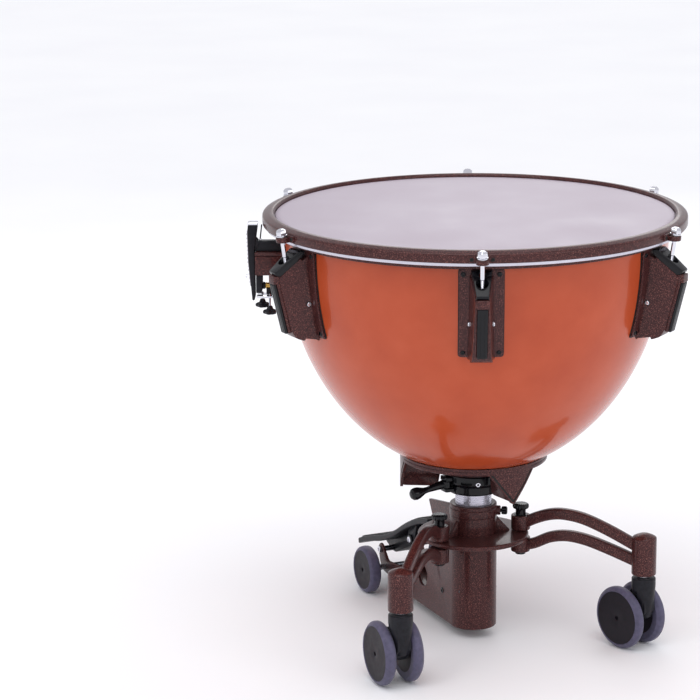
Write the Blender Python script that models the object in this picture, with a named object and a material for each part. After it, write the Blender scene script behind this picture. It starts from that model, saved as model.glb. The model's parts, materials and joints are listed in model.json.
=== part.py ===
"""A pedal timpani (kettledrum) on a folding, wheeled base, as separate named solids.

Metres, +Z up. The player and the pedal are on the -Y side. The origin lies on the floor under the
centre of the drum's outer box. Everything is laid out about the drum's own vertical axis, which
passes through the empty drum_axis. Moving pieces have their origins on their joints' axes.
"""
from math import asin, atan2, cos, degrees, hypot, pi, radians, sin, sqrt

import bmesh
import bpy
from mathutils import Matrix, Vector

# Driving dimensions ---------------------------------------------------------------------------
AXIS_AT = (0.0, 0.02225, 0.0)  # the drum's axis in the part's frame
GAP = 0.0004  # clearance between pieces that touch

BOWL_RADIUS = 0.324  # outside, at the lip
BOWL_DEPTH = 0.415
BOWL_TOP = 0.715
BOWL_POWER = 2.1  # how full the curve is: 2 is an ellipse
BOWL_WALL = 0.003
BOWL_TURN = 5.8  # degrees, how far the bowl is turned on its base
STATIONS = 6  # tuning points around the hoop
RING_STEPS = 36

HEAD_TOP = 0.7428
HEAD_FILM = 0.001
HOOP_RADIUS = 0.355
HOOP_TOP = 0.7460
HOOP_LOW = 0.7290
ROD_TOP = (0.3676, 0.7525)  # radius and height of a tension rod's top
ROD_LEAN = 8.6  # degrees inward at the bottom
ROD_LENGTH = 0.1335
ROCKER_PIVOT = (0.327, 0.626)
ROCKER_FOOT = (0.321, 0.592)
CASING_LOW, CASING_TOP = 0.5675, 0.7148
CASING_HALF_WIDTH = 0.036

SPIDER_PIN = (0.045, 0.360)  # radius and height of a pull rod's lower end
SHAFT_RADIUS = 0.005
CRADLE_RADIUS = 0.1255
CRADLE_TURN = 95.0  # direction of the first of the cradle's three feet
PILLAR_RADIUS = 0.0311
PILLAR_LOW, PILLAR_TOP = 0.112, 0.2930
COLLAR_LOW = 0.2585

COLUMN_RADIUS = 0.0403
COLUMN_TOP = 0.237
FLANGE_RADIUS = 0.095
FLANGE_LOW, FLANGE_TOP = 0.1765, 0.1850
HOUSING_LOW = 0.018
PANEL_HALF = 0.0398
PANEL_WALL = 0.004

PEDAL_PIVOT = (-0.300, 0.070)  # Y and height
PEDAL_HALF_WIDTH = 0.040
LEVER_PIVOT = (0.0152, 0.085)
LEVER_END = (-0.120, 0.105)

LEG_PIVOT = (0.082, 19.3)  # radius, and degrees from the X axis
CASTER_AT = (0.298, 40.5)
SLEEVE_RADIUS = 0.0209
SLEEVE_LOW, SLEEVE_TOP = 0.1345, 0.2040
CASTER_TRAIL = 0.030
CASTER_HEADINGS = {"left": -91.0, "right": -76.0}  # where each caster's wheels trail
CASTER_WHEEL = 0.0545
TRANSPORT_WHEEL = 0.043
TRANSPORT_AXLE = (-0.281, 0.043)
WHEEL_STEPS = 20

GAUGE_TURN = -25.0
GAUGE_HALF_WIDTH = 0.0115
CLAMP_TURN = 4.0
BOLT_RADIUS = 0.0055
SCREW_HEIGHT = 0.2235


# Helpers --------------------------------------------------------------------------------------
def clear_scene():
    for old in list(bpy.data.objects):
        bpy.data.objects.remove(old, do_unlink=True)


def material(name, colour, roughness, metallic=0.0):
    made = bpy.data.materials.new(name)
    made.use_nodes = True
    shader = made.node_tree.nodes["Principled BSDF"]
    shader.inputs["Base Color"].default_value = (*colour, 1.0)
    shader.inputs["Roughness"].default_value = roughness
    shader.inputs["Metallic"].default_value = metallic
    return made


def solid(name, points, faces, finish=None):
    """A closed mesh object whose faces point out, shaded smooth except at its corners."""
    mesh = bpy.data.meshes.new(name)
    shape = bmesh.new()
    corners = [shape.verts.new(point) for point in points]
    for face in faces:
        shape.faces.new([corners[index] for index in face])
    bmesh.ops.recalc_face_normals(shape, faces=shape.faces)
    shape.to_mesh(mesh)
    shape.free()
    made = bpy.data.objects.new(name, mesh)
    if finish:
        mesh.materials.append(finish)
    bpy.context.collection.objects.link(made)
    smooth(made)
    return made


def smooth(thing, angle=35):
    thing.data.shade_smooth()
    thing.data.set_sharp_from_angle(angle=radians(angle))


def turned(name, profile, steps=RING_STEPS, finish=None, phase=0.5):
    """A profile of (radius, height) turned about Z. It is closed, or starts and ends on the axis."""
    points, rings = [], []
    for radius, height in profile:
        if radius == 0:
            rings.append([len(points)] * steps)
            points.append((0, 0, height))
            continue
        rings.append([len(points) + step for step in range(steps)])
        angles = [2 * pi * (step + phase) / steps for step in range(steps)]
        points += [(radius * cos(a), radius * sin(a), height) for a in angles]
    faces = []
    for ring, after in zip(rings, rings[1:] + rings[:1]):
        for step in range(steps):
            corners = [ring[step], ring[step - 1], after[step - 1], after[step]]
            face = list(dict.fromkeys(corners))
            if len(face) > 2:
                faces.append(face)
    return solid(name, points, faces, finish)


def prism(name, outline, low, high, axis="Z", finish=None):
    """An outline pulled along an axis. The outline is in XY for Z, XZ for Y, and YZ for X."""
    place = {
        "Z": lambda u, v, w: (u, v, w),
        "Y": lambda u, v, w: (u, w, v),
        "X": lambda u, v, w: (w, u, v),
    }[axis]
    count = len(outline)
    points = [place(u, v, w) for w in (low, high) for u, v in outline]
    faces = [list(range(count)), list(range(count, 2 * count))]
    for here in range(count):
        after = (here + 1) % count
        faces.append([here, after, count + after, count + here])
    return solid(name, points, faces, finish)


def box(name, low, high, finish=None):
    outline = [(low[0], low[1]), (high[0], low[1]), (high[0], high[1]), (low[0], high[1])]
    return prism(name, outline, low[2], high[2], "Z", finish)


def rod(name, start, end, radius, steps=12, finish=None):
    """A round bar between two points."""
    start, end = Vector(start), Vector(end)
    made = turned(name, [(0, 0), (radius, 0), (radius, (end - start).length), (0, (end - start).length)],
                  steps, finish)
    turn = (end - start).to_track_quat("Z", "Y").to_matrix().to_4x4()
    made.data.transform(Matrix.Translation(start) @ turn)
    return made


def bar(name, path, half_width, half_height, finish=None):
    """A flat bar whose centre line, in XZ, bends up and down."""
    points, faces = [], []
    for index, (x, z) in enumerate(path):
        before, after = path[max(index - 1, 0)], path[min(index + 1, len(path) - 1)]
        run, rise = after[0] - before[0], after[1] - before[1]
        length = hypot(run, rise)
        up = (-rise / length * half_height, run / length * half_height)
        for side, top in ((-1, -1), (1, -1), (1, 1), (-1, 1)):
            points.append((x + top * up[0], side * half_width, z + top * up[1]))
    for index in range(len(path) - 1):
        for corner in range(4):
            a, b = 4 * index + corner, 4 * index + (corner + 1) % 4
            faces.append([a, b, b + 4, a + 4])
    faces += [[0, 1, 2, 3], [len(points) - 4 + corner for corner in range(4)]]
    return solid(name, points, faces, finish)


def combine(base, others, operation):
    """Unites the base with each other solid, or cuts each of them from it."""
    for other in others:
        step = base.modifiers.new(operation.lower(), "BOOLEAN")
        step.operation = operation
        step.solver = "EXACT"
        step.object = other
    bpy.context.view_layer.update()
    depsgraph = bpy.context.evaluated_depsgraph_get()
    result = bpy.data.meshes.new_from_object(base.evaluated_get(depsgraph))
    base.modifiers.clear()
    base.data = result
    for other in others:
        bpy.data.objects.remove(other, do_unlink=True)
    smooth(base)
    return base


def joined(base, *others):
    return combine(base, others, "UNION")


def cut(base, *others):
    return combine(base, others, "DIFFERENCE")


def put(thing, parent, at=(0, 0, 0), turn=(0, 0, 0)):
    """Places an object in its parent's frame. Angles are in degrees."""
    thing.parent = parent
    thing.location = at
    thing.rotation_euler = [radians(angle) for angle in turn]
    return thing


def origin_to(thing, at):
    """Moves an object's origin without moving its shape, while it has no parent."""
    thing.data.transform(Matrix.Translation(-Vector(at)))
    return thing


def empty(name, parent=None, at=(0, 0, 0), turn=0.0):
    made = bpy.data.objects.new(name, None)
    bpy.context.collection.objects.link(made)
    return put(made, parent, at, (0, 0, turn))


def copy_of(thing, name):
    made = bpy.data.objects.new(name, thing.data)
    bpy.context.collection.objects.link(made)
    return made


def polar(radius, angle, height=0.0):
    return Vector((radius * cos(radians(angle)), radius * sin(radians(angle)), height))


def arc(centre, radius, first, last, count):
    """Points on a circle, as pairs, from one angle in degrees to another."""
    angles = [radians(first + (last - first) * index / (count - 1)) for index in range(count)]
    return [(centre[0] + radius * cos(a), centre[1] + radius * sin(a)) for a in angles]


def bowl_height(radius, offset=0.0):
    """Height of the bowl's outer surface at a radius, the surface grown by offset."""
    reach = radius / (BOWL_RADIUS + offset)
    return BOWL_TOP - (BOWL_DEPTH + offset) * (1 - reach * reach) ** (1 / BOWL_POWER)


def bowl_radius(height, offset=0.0):
    reach = max(0.0, (BOWL_TOP - height) / (BOWL_DEPTH + offset))
    return (BOWL_RADIUS + offset) * sqrt(1 - reach**BOWL_POWER)


# The kettle and its head ----------------------------------------------------------------------
def make_bowl(parent, finish):
    hole = 0.020
    first, rows = asin(hole / BOWL_RADIUS), 9
    tilts = [first + (pi / 2 - first) * row / (rows - 1) for row in range(rows)]
    outer = [(BOWL_RADIUS * sin(t), bowl_height(BOWL_RADIUS * sin(t))) for t in tilts]
    inner_radius = BOWL_RADIUS - BOWL_WALL
    inner = [(inner_radius * sin(t), bowl_height(inner_radius * sin(t), -BOWL_WALL)) for t in tilts]
    shell = turned("bowl", outer + inner[::-1], RING_STEPS, finish)
    slots = []
    for index in range(STATIONS):
        slot = box("slot", (0.270, -0.008, 0.560), (0.335, 0.008, 0.600))
        slot.data.transform(Matrix.Rotation(radians(360 / STATIONS * index), 4, "Z"))
        slots.append(slot)
    cut(shell, *slots)
    return put(shell, parent)


def make_bearing_ring(parent, finish):
    low = BOWL_TOP + GAP
    profile = [(0.3175, low), (0.3205, 0.7395), (0.3230, HEAD_TOP - HEAD_FILM - GAP), (0.3255, 0.7395),
               (0.3268, 0.7208), (0.3360, 0.7208), (0.3360, low)]
    return put(turned("bearing_ring", profile[::-1], RING_STEPS, finish), parent)


def make_drumhead(parent, finish):
    edge, collar = 0.3250, (0.3415, 0.7347)
    profile = [(0, HEAD_TOP - HEAD_FILM), (0.3235, HEAD_TOP - HEAD_FILM), (0.3268, 0.7406),
               (collar[0] - 0.0005, collar[1] - 0.0011), collar, (edge + 0.0025, 0.7417),
               (edge, HEAD_TOP), (0, HEAD_TOP)]
    return put(turned("drumhead", profile, RING_STEPS, finish), parent)


def make_flesh_hoop(parent, finish):
    profile = [(0.3412, 0.7222), (0.3500, 0.7222), (0.3500, 0.7330), (0.3412, 0.7330)]
    return put(turned("flesh_hoop", profile, RING_STEPS, finish), parent)


def make_counterhoop(parent, finish):
    """The rim: a ring with a rounded top lip, and a claw at each station that a rod pulls down."""
    top, inner = HOOP_TOP, 0.3372
    profile = [(0.3505, HOOP_LOW), (HOOP_RADIUS, HOOP_LOW), (HOOP_RADIUS, 0.7400), (0.3533, 0.7440),
               (0.3495, top), (0.3400, 0.7454), (inner, 0.7405),
               (0.3440, 0.7375), (0.3462, 0.7335), (0.3505, 0.7335)]
    ring = turned("counterhoop", profile, RING_STEPS, finish)
    claws, holes = [], []
    for index in range(STATIONS):
        spin = Matrix.Rotation(radians(360 / STATIONS * index), 4, "Z")
        plate = box("claw_plate", (0.3520, -0.0225, 0.7298), (0.3565, 0.0225, 0.7412))
        centre = ROD_TOP[0] - (ROD_TOP[1] - 0.733) * sin(radians(ROD_LEAN))
        cup = rod("claw_cup", (centre, 0, 0.7293), (centre, 0, 0.7368), 0.0112, 10)
        hole = rod("claw_hole", (centre - 0.003, 0, 0.7150), (centre + 0.003, 0, 0.7550), 0.0048, 8)
        for piece, group in ((plate, claws), (cup, claws), (hole, holes)):
            piece.data.transform(spin)
            group.append(piece)
    joined(ring, *claws)
    cut(ring, *holes)
    return put(ring, parent)


def make_tension_rod(name, parent, finish):
    """A square-headed rod whose barrel nut sits in its rocker's fork."""
    nut = ROD_LENGTH - 0.0125
    profile = [(0, 0), (0.0060, -0.0004), (0.0084, -0.0035), (0.0084, -0.0118), (0.0091, -0.0118),
               (0.0091, -0.0138), (0.0036, -0.0138), (0.0036, -nut), (0.0052, -nut),
               (0.0052, -ROD_LENGTH), (0, -ROD_LENGTH)]
    made = turned(name, profile, 8, finish)
    return put(made, parent, (ROD_TOP[0], 0, ROD_TOP[1]), (0, ROD_LEAN, 0))


def curved_plate(name, inner_offset, outer_offset, half_width, low, high, columns=2, rows=4):
    """A plate that lies on the bowl, in XZ about Y = 0, between two offsets from its surface."""
    points, faces = [], []
    for offset in (inner_offset, outer_offset):
        for row in range(rows):
            height = low + (high - low) * row / (rows - 1)
            radius = bowl_radius(height, offset)
            for column in range(columns + 1):
                y = half_width * (2 * column / columns - 1)
                points.append((sqrt(radius * radius - y * y), y, height))
    wide = columns + 1
    layer = rows * wide
    for row in range(rows - 1):
        for column in range(columns):
            at = row * wide + column
            for base in (0, layer):
                faces.append([base + at, base + at + 1, base + at + wide + 1, base + at + wide])
    edge = [column for column in range(wide)]
    edge += [row * wide + columns for row in range(1, rows)]
    edge += [(rows - 1) * wide + column for column in range(columns - 1, -1, -1)]
    edge += [row * wide for row in range(rows - 2, 0, -1)]
    for here, after in zip(edge, edge[1:] + edge[:1]):
        faces.append([here, after, layer + after, layer + here])
    return solid(name, points, faces)


def tapered_prism(name, outline, near, far):
    """An XZ outline pulled both ways along Y, to a half width that falls from near to far in X."""
    def half(x):
        return near[1] + (far[1] - near[1]) * (x - near[0]) / (far[0] - near[0])

    count = len(outline)
    points = [(x, side * half(x), z) for side in (-1, 1) for x, z in outline]
    faces = [list(range(count)), list(range(count, 2 * count))]
    for here in range(count):
        after = (here + 1) % count
        faces.append([here, after, count + after, count + here])
    return solid(name, points, faces)


def make_lug_casing(finish):
    """A housing on the bowl with an open back. It holds the rocker, and a slot lets the rod in."""
    casing = curved_plate("lug_casing", 0.0012, 0.0060, CASING_HALF_WIDTH, CASING_LOW, CASING_TOP)
    casing.data.materials.append(finish)
    near, far = (0.325, 0.0185), (0.386, 0.0128)
    low, top, rows = CASING_LOW + 0.001, CASING_TOP - 0.001, 4
    levels = [top + (low - top) * row / (rows - 1) for row in range(rows)]
    outline = [(bowl_radius(level, 0.0030), level) for level in levels]
    outline += [(0.356, 0.5745), (0.3655, 0.5830), (0.3862, 0.6720), (0.3845, 0.6825), (0.3425, top)]
    rib = tapered_prism("rib", outline, near, far)
    cavity = tapered_prism("cavity", [(0.270, 0.5705), (0.340, 0.5745), (0.3600, 0.5880),
                                      (0.3805, 0.6700), (0.3790, 0.6780), (0.3400, 0.7080), (0.270, 0.7080)],
                           (0.325, 0.0135), (0.386, 0.0100))
    mouth = prism("mouth", [(0.3480, 0.690), (0.3710, 0.675), (0.3790, 0.72), (0.3560, 0.735)],
                  -0.0078, 0.0078, "Y")
    pin_hole = rod("pin_hole", (ROCKER_PIVOT[0], -0.03, ROCKER_PIVOT[1]),
                   (ROCKER_PIVOT[0], 0.03, ROCKER_PIVOT[1]), 0.0046, 8)
    joined(casing, rib)
    return cut(casing, cavity, mouth, pin_hole)


def make_rocker(finish):
    """A bell crank: its fork takes the rod's nut, its foot pulls on the rod in the bowl."""
    px, pz = ROCKER_PIVOT
    fx, fz = ROCKER_FOOT
    plate = prism("rocker", [(px - 0.007, pz + 0.005), (px + 0.002, pz + 0.008), (px + 0.0135, pz + 0.005),
                             (px + 0.0135, pz - 0.004), (px + 0.005, pz - 0.009), (fx + 0.0052, fz + 0.001),
                             (fx + 0.003, fz - 0.0045), (fx - 0.003, fz - 0.0045), (fx - 0.0052, fz + 0.001)],
                  -0.0028, 0.0028, "Y", finish)
    yoke = box("yoke", (px + 0.0105, -0.0092, pz - 0.0045), (px + 0.0140, 0.0092, pz + 0.0055))
    tines = [box("tine", (px + 0.0120, min(s * 0.0064, s * 0.0092), pz - 0.0045),
                 (px + 0.0275, max(s * 0.0064, s * 0.0092), pz + 0.0055)) for s in (-1, 1)]
    pin = rod("pin", (px, -0.0196, pz), (px, 0.0196, pz), 0.0041, 8)
    stub = rod("stub", (fx, -0.0026, fz), (fx, 0.0092, fz), 0.0022, 6)
    joined(plate, yoke, *tines, pin, stub)
    return origin_to(plate, (px, 0, pz))


def make_pull_rod(finish):
    """Runs from the spider to a rocker's foot. Its eye has room round the foot's stub."""
    sx, sz = SPIDER_PIN
    fx, fz = ROCKER_FOOT
    along = Vector((fx - sx, 0, fz - sz)).normalized()
    foot = Vector((fx, 0, fz))
    eye = prism("pull_rod", [(fx + x, fz + z) for x, z in arc((0, 0), 0.0072, 0, 315, 8)],
                0.0033, 0.0075, "Y", finish)
    start = foot - 0.016 * along + Vector((0, 0.0054, 0))
    shank = rod("shank", start + 0.012 * along, start - 0.014 * along + Vector((0, -0.003, 0)), 0.0021, 6)
    stem = rod("stem", start - 0.012 * along + Vector((0, -0.0026, 0)), Vector((sx, 0, sz)), 0.0024, 6)
    barrel = rod("barrel", (sx, -0.0075, sz), (sx, 0.0075, sz), 0.0034, 8)
    joined(eye, shank, stem, barrel)
    bore = rod("bore", (fx, -0.01, fz), (fx, 0.02, fz), 0.0042, 8)
    cut(eye, bore)
    return origin_to(eye, (sx, 0, sz))


def make_spider(parent, finish):
    """The plate that all the pull rods hook under, on a tube that slides over the pull shaft."""
    low, high, rim = 0.3640, 0.3715, 0.0530
    inner = SHAFT_RADIUS + 0.0006
    profile = [(inner, 0.165), (0.0090, 0.165), (0.0090, 0.352), (0.0170, 0.356), (0.0170, low),
               (rim, low), (rim, high), (0.0170, high), (0.0150, 0.3800), (inner, 0.3800)]
    plate = turned("spider", profile, 18, finish)
    slots = []
    for index in range(STATIONS):
        slot = box("slot", (0.0370, -0.0036, 0.355), (0.0700, 0.0036, 0.380))
        slot.data.transform(Matrix.Rotation(radians(360 / STATIONS * index), 4, "Z"))
        slots.append(slot)
    cut(plate, *slots)
    return put(plate, parent)


# The tuning gauge -----------------------------------------------------------------------------
def make_gauge(parent, finishes):
    """A bracket on the bowl, a scale board facing out, its pointer, and two tuning knobs."""
    bracket = box("gauge_bracket", (0.300, -0.014, 0.6440), (0.3662, 0.014, 0.6820), finishes["brown"])
    arm = box("arm", (0.316, -0.007, 0.6800), (0.3600, 0.007, 0.6990))
    hanger = box("hanger", (0.3560, -0.012, 0.6100), (0.3660, 0.012, 0.6480))
    barrel = rod("barrel", (0.3340, 0, 0.6232), (0.3580, 0, 0.6232), 0.0048, 10)
    bridge = box("bridge", (0.3330, -0.006, 0.6080), (0.3400, 0.006, 0.6300))
    foot = box("foot", (0.3330, -0.0150, 0.6050), (0.3660, 0.0160, 0.6105))
    joined(bracket, arm, hanger, barrel, bridge, foot)
    seat = curved_plate("seat", -0.030, 0.0006, 0.03, 0.630, 0.705, 4, 4)
    knob_spots = {"gauge_knob_outer": (0.3573, -0.008, 0.5887), "gauge_knob_inner": (0.3440, 0.010, 0.5805)}
    holes = [rod("hole", (x, y, 0.598), (x, y, 0.6115), 0.0026, 8) for x, y, _ in knob_spots.values()]
    cut(bracket, seat, *holes)
    put(bracket, parent)

    board = prism("gauge_scale", [(0.3670, 0.6050), (0.3730, 0.5995), (0.3795, 0.6650), (0.3810, 0.7210),
                                  (0.3810, 0.7320), (0.3640, 0.7320), (0.3640, 0.7190), (0.3685, 0.6850)],
                  -GAUGE_HALF_WIDTH, GAUGE_HALF_WIDTH, "Y", finishes["black"])
    put(board, parent)

    pointer = box("gauge_pointer", (0.3812, -0.009, 0.6300), (0.3850, 0.009, 0.6360), finishes["chrome"])
    put(origin_to(pointer, (0.3831, 0, 0.633)), parent, (0.3831, 0, 0.633))

    for name, (x, y, z) in knob_spots.items():
        profile = [(0, -0.0045), (0.0120, -0.0035), (0.0120, 0.0020), (0.0045, 0.0035), (0.0045, 0.0090),
                   (0.0020, 0.0100), (0.0020, 0.6110 - z), (0, 0.6110 - z)]
        put(turned(name, profile, 10, finishes["black"]), parent, (x, y, z))


# The cradle, the clamp and the pillar ---------------------------------------------------------
def make_cradle(parent, finish):
    """A dished ring that the bowl is bolted to, with three V-shaped feet and their webs."""
    radii = [0.0210 + (CRADLE_RADIUS - 0.0010 - 0.0210) * index / 3 for index in range(4)]
    top = [(radius, bowl_height(radius) - 0.0012) for radius in radii]
    below = [(CRADLE_RADIUS, top[-1][1] - 0.0006), (CRADLE_RADIUS, 0.3195), (0.1190, 0.3165),
             (0.0520, 0.2945), (0.0210, 0.2940)]
    ring = turned("bowl_cradle", (top + below)[::-1], 24, finish)
    feet = []
    for index in range(3):
        foot = prism("foot", [(-0.043, 0.3205), (-0.004, 0.2625), (0, 0.2605), (0.004, 0.2625),
                              (0.043, 0.3205)], 0.1175, 0.1235, "X")
        web = prism("web", [(0.0630, 0.2990), (0.0630, 0.2720), (0.0665, 0.2665), (0.1200, 0.2625),
                            (0.1200, 0.3190)], -0.003, 0.003, "Y")
        for piece in (foot, web):
            piece.data.transform(Matrix.Rotation(radians(CRADLE_TURN + 120 * index), 4, "Z"))
            feet.append(piece)
    joined(ring, *feet)
    return put(ring, parent)


def make_clamp(parent, finishes):
    """The collar fixed under the cradle, and the lever that grips the pillar with it."""
    bore = PILLAR_RADIUS + GAP
    profile = [(bore, COLLAR_LOW), (0.0420, COLLAR_LOW), (0.0440, 0.2610), (0.0440, 0.2740), (0.0500, 0.2790),
               (0.0500, PILLAR_TOP), (bore, PILLAR_TOP)]
    collar = turned("clamp_collar", profile, 24, finishes["black"])
    ear = box("ear", (0.036, -0.012, 0.2640), (0.0600, 0.012, 0.2700))
    upper_ear = box("upper_ear", (0.036, -0.012, 0.2830), (0.0600, 0.012, 0.2900))
    ears = [ear, upper_ear]
    turn = Matrix.Rotation(radians(CLAMP_TURN), 4, "Z")
    for piece in ears:
        piece.data.transform(turn)
    joined(collar, *ears)
    room = rod("room", (0.054, 0, 0.2695), (0.054, 0, 0.2835), 0.0105, 12)
    room.data.transform(turn)
    cut(collar, room)
    put(collar, parent)

    lever = rod("clamp_lever", (0, 0, 0.2706), (0, 0, 0.2824), 0.0095, 12, finishes["black"])
    arm = rod("arm", (0.004, 0, 0.2765), (0.0560, 0, 0.2680), 0.0052, 8)
    ball = turned("ball", [(0, -0.0110)] + arc((0, 0), 0.0110, -60, 60, 4) + [(0, 0.0110)], 10)
    ball.data.transform(Matrix.Translation((0.0560, 0, 0.2675)))
    joined(lever, arm, ball)
    return put(lever, parent, polar(0.054, CLAMP_TURN), (0, 0, CLAMP_TURN))


def make_pillar(parent, finish):
    """The post that carries the bowl and slides in the column."""
    profile = [(0.0120, PILLAR_LOW), (0.0120, PILLAR_TOP), (PILLAR_RADIUS, PILLAR_TOP),
               (PILLAR_RADIUS, PILLAR_LOW)]
    return put(turned("pillar", profile, 24, finish), parent)


# The base, the pedal and its linkage ----------------------------------------------------------
def make_base(parent, finish):
    """The column, its flange, and the housing whose two panels reach back to the pedal."""
    bore = PILLAR_RADIUS + GAP
    outline = [(0, HOUSING_LOW), (COLUMN_RADIUS - 0.004, HOUSING_LOW), (COLUMN_RADIUS, HOUSING_LOW + 0.005),
               (COLUMN_RADIUS, COLUMN_TOP - 0.002), (COLUMN_RADIUS - 0.002, COLUMN_TOP), (0, COLUMN_TOP)]
    column = turned("base_housing", outline, 24, finish)
    flange = turned("flange", [(0, FLANGE_LOW), (FLANGE_RADIUS, FLANGE_LOW), (FLANGE_RADIUS, FLANGE_TOP),
                               (0, FLANGE_TOP)], 36)
    side = [(0.0, HOUSING_LOW), (-0.165, HOUSING_LOW), (-0.290, 0.0320), (-0.303, 0.0430), (-0.3105, 0.0660),
            (-0.3105, 0.0750), (-0.304, 0.0812), (-0.295, 0.0812), (-0.288, 0.0740), (-0.270, 0.0560),
            (-0.200, 0.0640), (-0.155, 0.0900), (-0.110, 0.1170), (-0.0760, 0.1230),
            (-0.0760, FLANGE_LOW + 0.002), (0.0, FLANGE_LOW + 0.002)]
    panels = prism("panels", side, -PANEL_HALF, PANEL_HALF, "X")
    cheek = prism("cheek", [(-0.010, FLANGE_TOP - 0.002), (-0.090, FLANGE_TOP - 0.002), (-0.1105, 0.2175),
                            (-0.030, 0.2310), (-0.010, 0.2310)], -0.0340, 0.0340, "X")
    gussets = []
    for angle in (LEG_PIVOT[1], 180 - LEG_PIVOT[1]):
        gusset = prism("gusset", [(0.030, FLANGE_TOP - 0.002), (0.0610, FLANGE_TOP - 0.002), (0.0610, 0.1870),
                                  (0.0350, 0.2150), (0.030, 0.2150)], -0.0025, 0.0025, "Y")
        gusset.data.transform(Matrix.Rotation(radians(angle), 4, "Z"))
        gussets.append(gusset)
    boss = rod("boss", polar(0.030, 148, SCREW_HEIGHT), polar(0.0470, 148, SCREW_HEIGHT), 0.0080, 10)
    joined(column, flange, panels, cheek, *gussets, boss)

    inside = PANEL_HALF - PANEL_WALL
    floor = HOUSING_LOW + 0.006
    well = prism("well", [(0.0, floor), (-0.168, floor), (-0.330, 0.0430), (-0.330, 0.110), (-0.160, 0.160),
                          (-0.120, 0.170), (0.0, 0.170)], -inside, inside, "X")
    bottom = rod("bottom", (0, 0, floor), (0, 0, 0.170), COLUMN_RADIUS - PANEL_WALL, 24)
    slot = prism("slot", [(-0.034, 0.160), (-0.130, 0.160), (-0.130, 0.240), (-0.034, 0.240)],
                 -0.0290, 0.0290, "X")
    tube = rod("tube", (0, 0, PILLAR_LOW - 0.006), (0, 0, COLUMN_TOP + 0.01), bore + 0.0004, 24)
    axle_at = (TRANSPORT_AXLE[0], wheel_drop(TRANSPORT_AXLE[1]))
    axle = rod("axle", (-0.1, *axle_at), (0.1, *axle_at), 0.0050 + GAP)
    pedal_pin = rod("pedal_pin", (-0.1, *PEDAL_PIVOT), (0.1, *PEDAL_PIVOT), 0.0050 + GAP)
    lever_pin = rod("lever_pin", (-0.0362, *LEVER_PIVOT), (0.0362, *LEVER_PIVOT), 0.0040 + GAP)
    window = rod("window", (-0.1, -0.128, 0.0735), (0.1, -0.128, 0.0735), 0.0140, 14)
    bolts = [rod("bolt_hole", polar(LEG_PIVOT[0], angle, 0.16), polar(LEG_PIVOT[0], angle, 0.20),
                 BOLT_RADIUS + 0.0008, 12) for angle in (LEG_PIVOT[1], 180 - LEG_PIVOT[1])]
    screw = rod("screw_hole", polar(0.020, 148, SCREW_HEIGHT), polar(0.060, 148, SCREW_HEIGHT),
                0.0030 + GAP, 10)
    cut(column, well, bottom, slot, tube, axle, pedal_pin, lever_pin, window, *bolts, screw)
    return put(column, parent)


def make_height_screw(parent, finish):
    """The screw that locks the pillar in the column."""
    tip = PILLAR_RADIUS + 0.0006
    screw = turned("height_screw", [(0, tip), (0.0030, tip), (0.0030, 0.0485), (0.0068, 0.0492),
                                    (0.0068, 0.0570), (0.0050, 0.0590), (0, 0.0590)], 10, finish)
    screw.data.transform(Matrix.Rotation(radians(90), 4, "Y"))
    return put(screw, parent, (0, 0, SCREW_HEIGHT), (0, 0, 148))


def make_pedal(parent, finish):
    """The footplate on its cross pin, with two arms that carry a pin through the lever's slot."""
    top = [(-0.402, 0.0640), (-0.380, 0.0725), (-0.345, 0.0830), (-0.300, 0.0970), (-0.249, 0.1195),
           (-0.204, 0.1445), (-0.159, 0.1660), (-0.130, 0.1765), (-0.100, 0.1830)]
    thick = 0.0105
    under = [(y + 0.002, z - thick) for y, z in top]
    plate = prism("pedal", top + under[::-1], -PEDAL_HALF_WIDTH, PEDAL_HALF_WIDTH, "X", finish)
    hub_y, hub_z = PEDAL_PIVOT
    web = prism("web", [(-0.335, 0.0740), (hub_y - 0.008, hub_z - 0.007), (hub_y + 0.008, hub_z - 0.007),
                        (-0.205, 0.1050), (-0.180, 0.1080), (-0.135, 0.1500), (-0.140, 0.1680),
                        (-0.180, 0.1500), (-0.240, 0.1180), (-0.300, 0.0910), (-0.335, 0.0800)],
                -0.0140, 0.0140, "X")
    pin = rod("pin", (-0.0420, hub_y, hub_z), (0.0420, hub_y, hub_z), 0.0050)
    y, z = LEVER_END
    outline = [(y - 0.006, z - 0.007), (y + 0.006, z - 0.007), (y + 0.010, 0.1700), (y - 0.014, 0.1650)]
    arms = [prism("arm", outline, min(s * 0.0100, s * 0.0145), max(s * 0.0100, s * 0.0145), "X")
            for s in (-1, 1)]
    cross = rod("cross", (-0.0140, y, z), (0.0140, y, z), 0.0030, 10)
    joined(plate, web, pin, *arms, cross)
    return put(origin_to(plate, (0, *PEDAL_PIVOT)), parent, (0, *PEDAL_PIVOT))


def make_pull_lever(parent, finish):
    """Turns the pedal's long travel into the shaft's short one."""
    py, pz = LEVER_PIVOT
    ey, ez = LEVER_END
    beam = prism("pull_lever", [(py + 0.009, pz - 0.008), (py + 0.009, pz + 0.008), (py - 0.030, pz + 0.011),
                                (ey - 0.012, ez + 0.009), (ey - 0.012, ez - 0.009), (py - 0.030, pz - 0.011)],
                 -0.0080, 0.0080, "X", finish)
    pin = rod("pin", (-0.0358, py, pz), (0.0358, py, pz), 0.0040)
    joined(beam, pin)
    shaft_hole = rod("shaft_hole", (-0.02, 0, pz), (0.02, 0, pz), 0.0047, 12)
    slot = prism("slot", [(ey - 0.0050, ez - 0.0038), (ey + 0.0085, ez - 0.0038), (ey + 0.0085, ez + 0.0038),
                          (ey - 0.0050, ez + 0.0038)], -0.02, 0.02, "X")
    cut(beam, shaft_hole, slot)
    return put(origin_to(beam, (0, py, pz)), parent, (0, py, pz))


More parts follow.
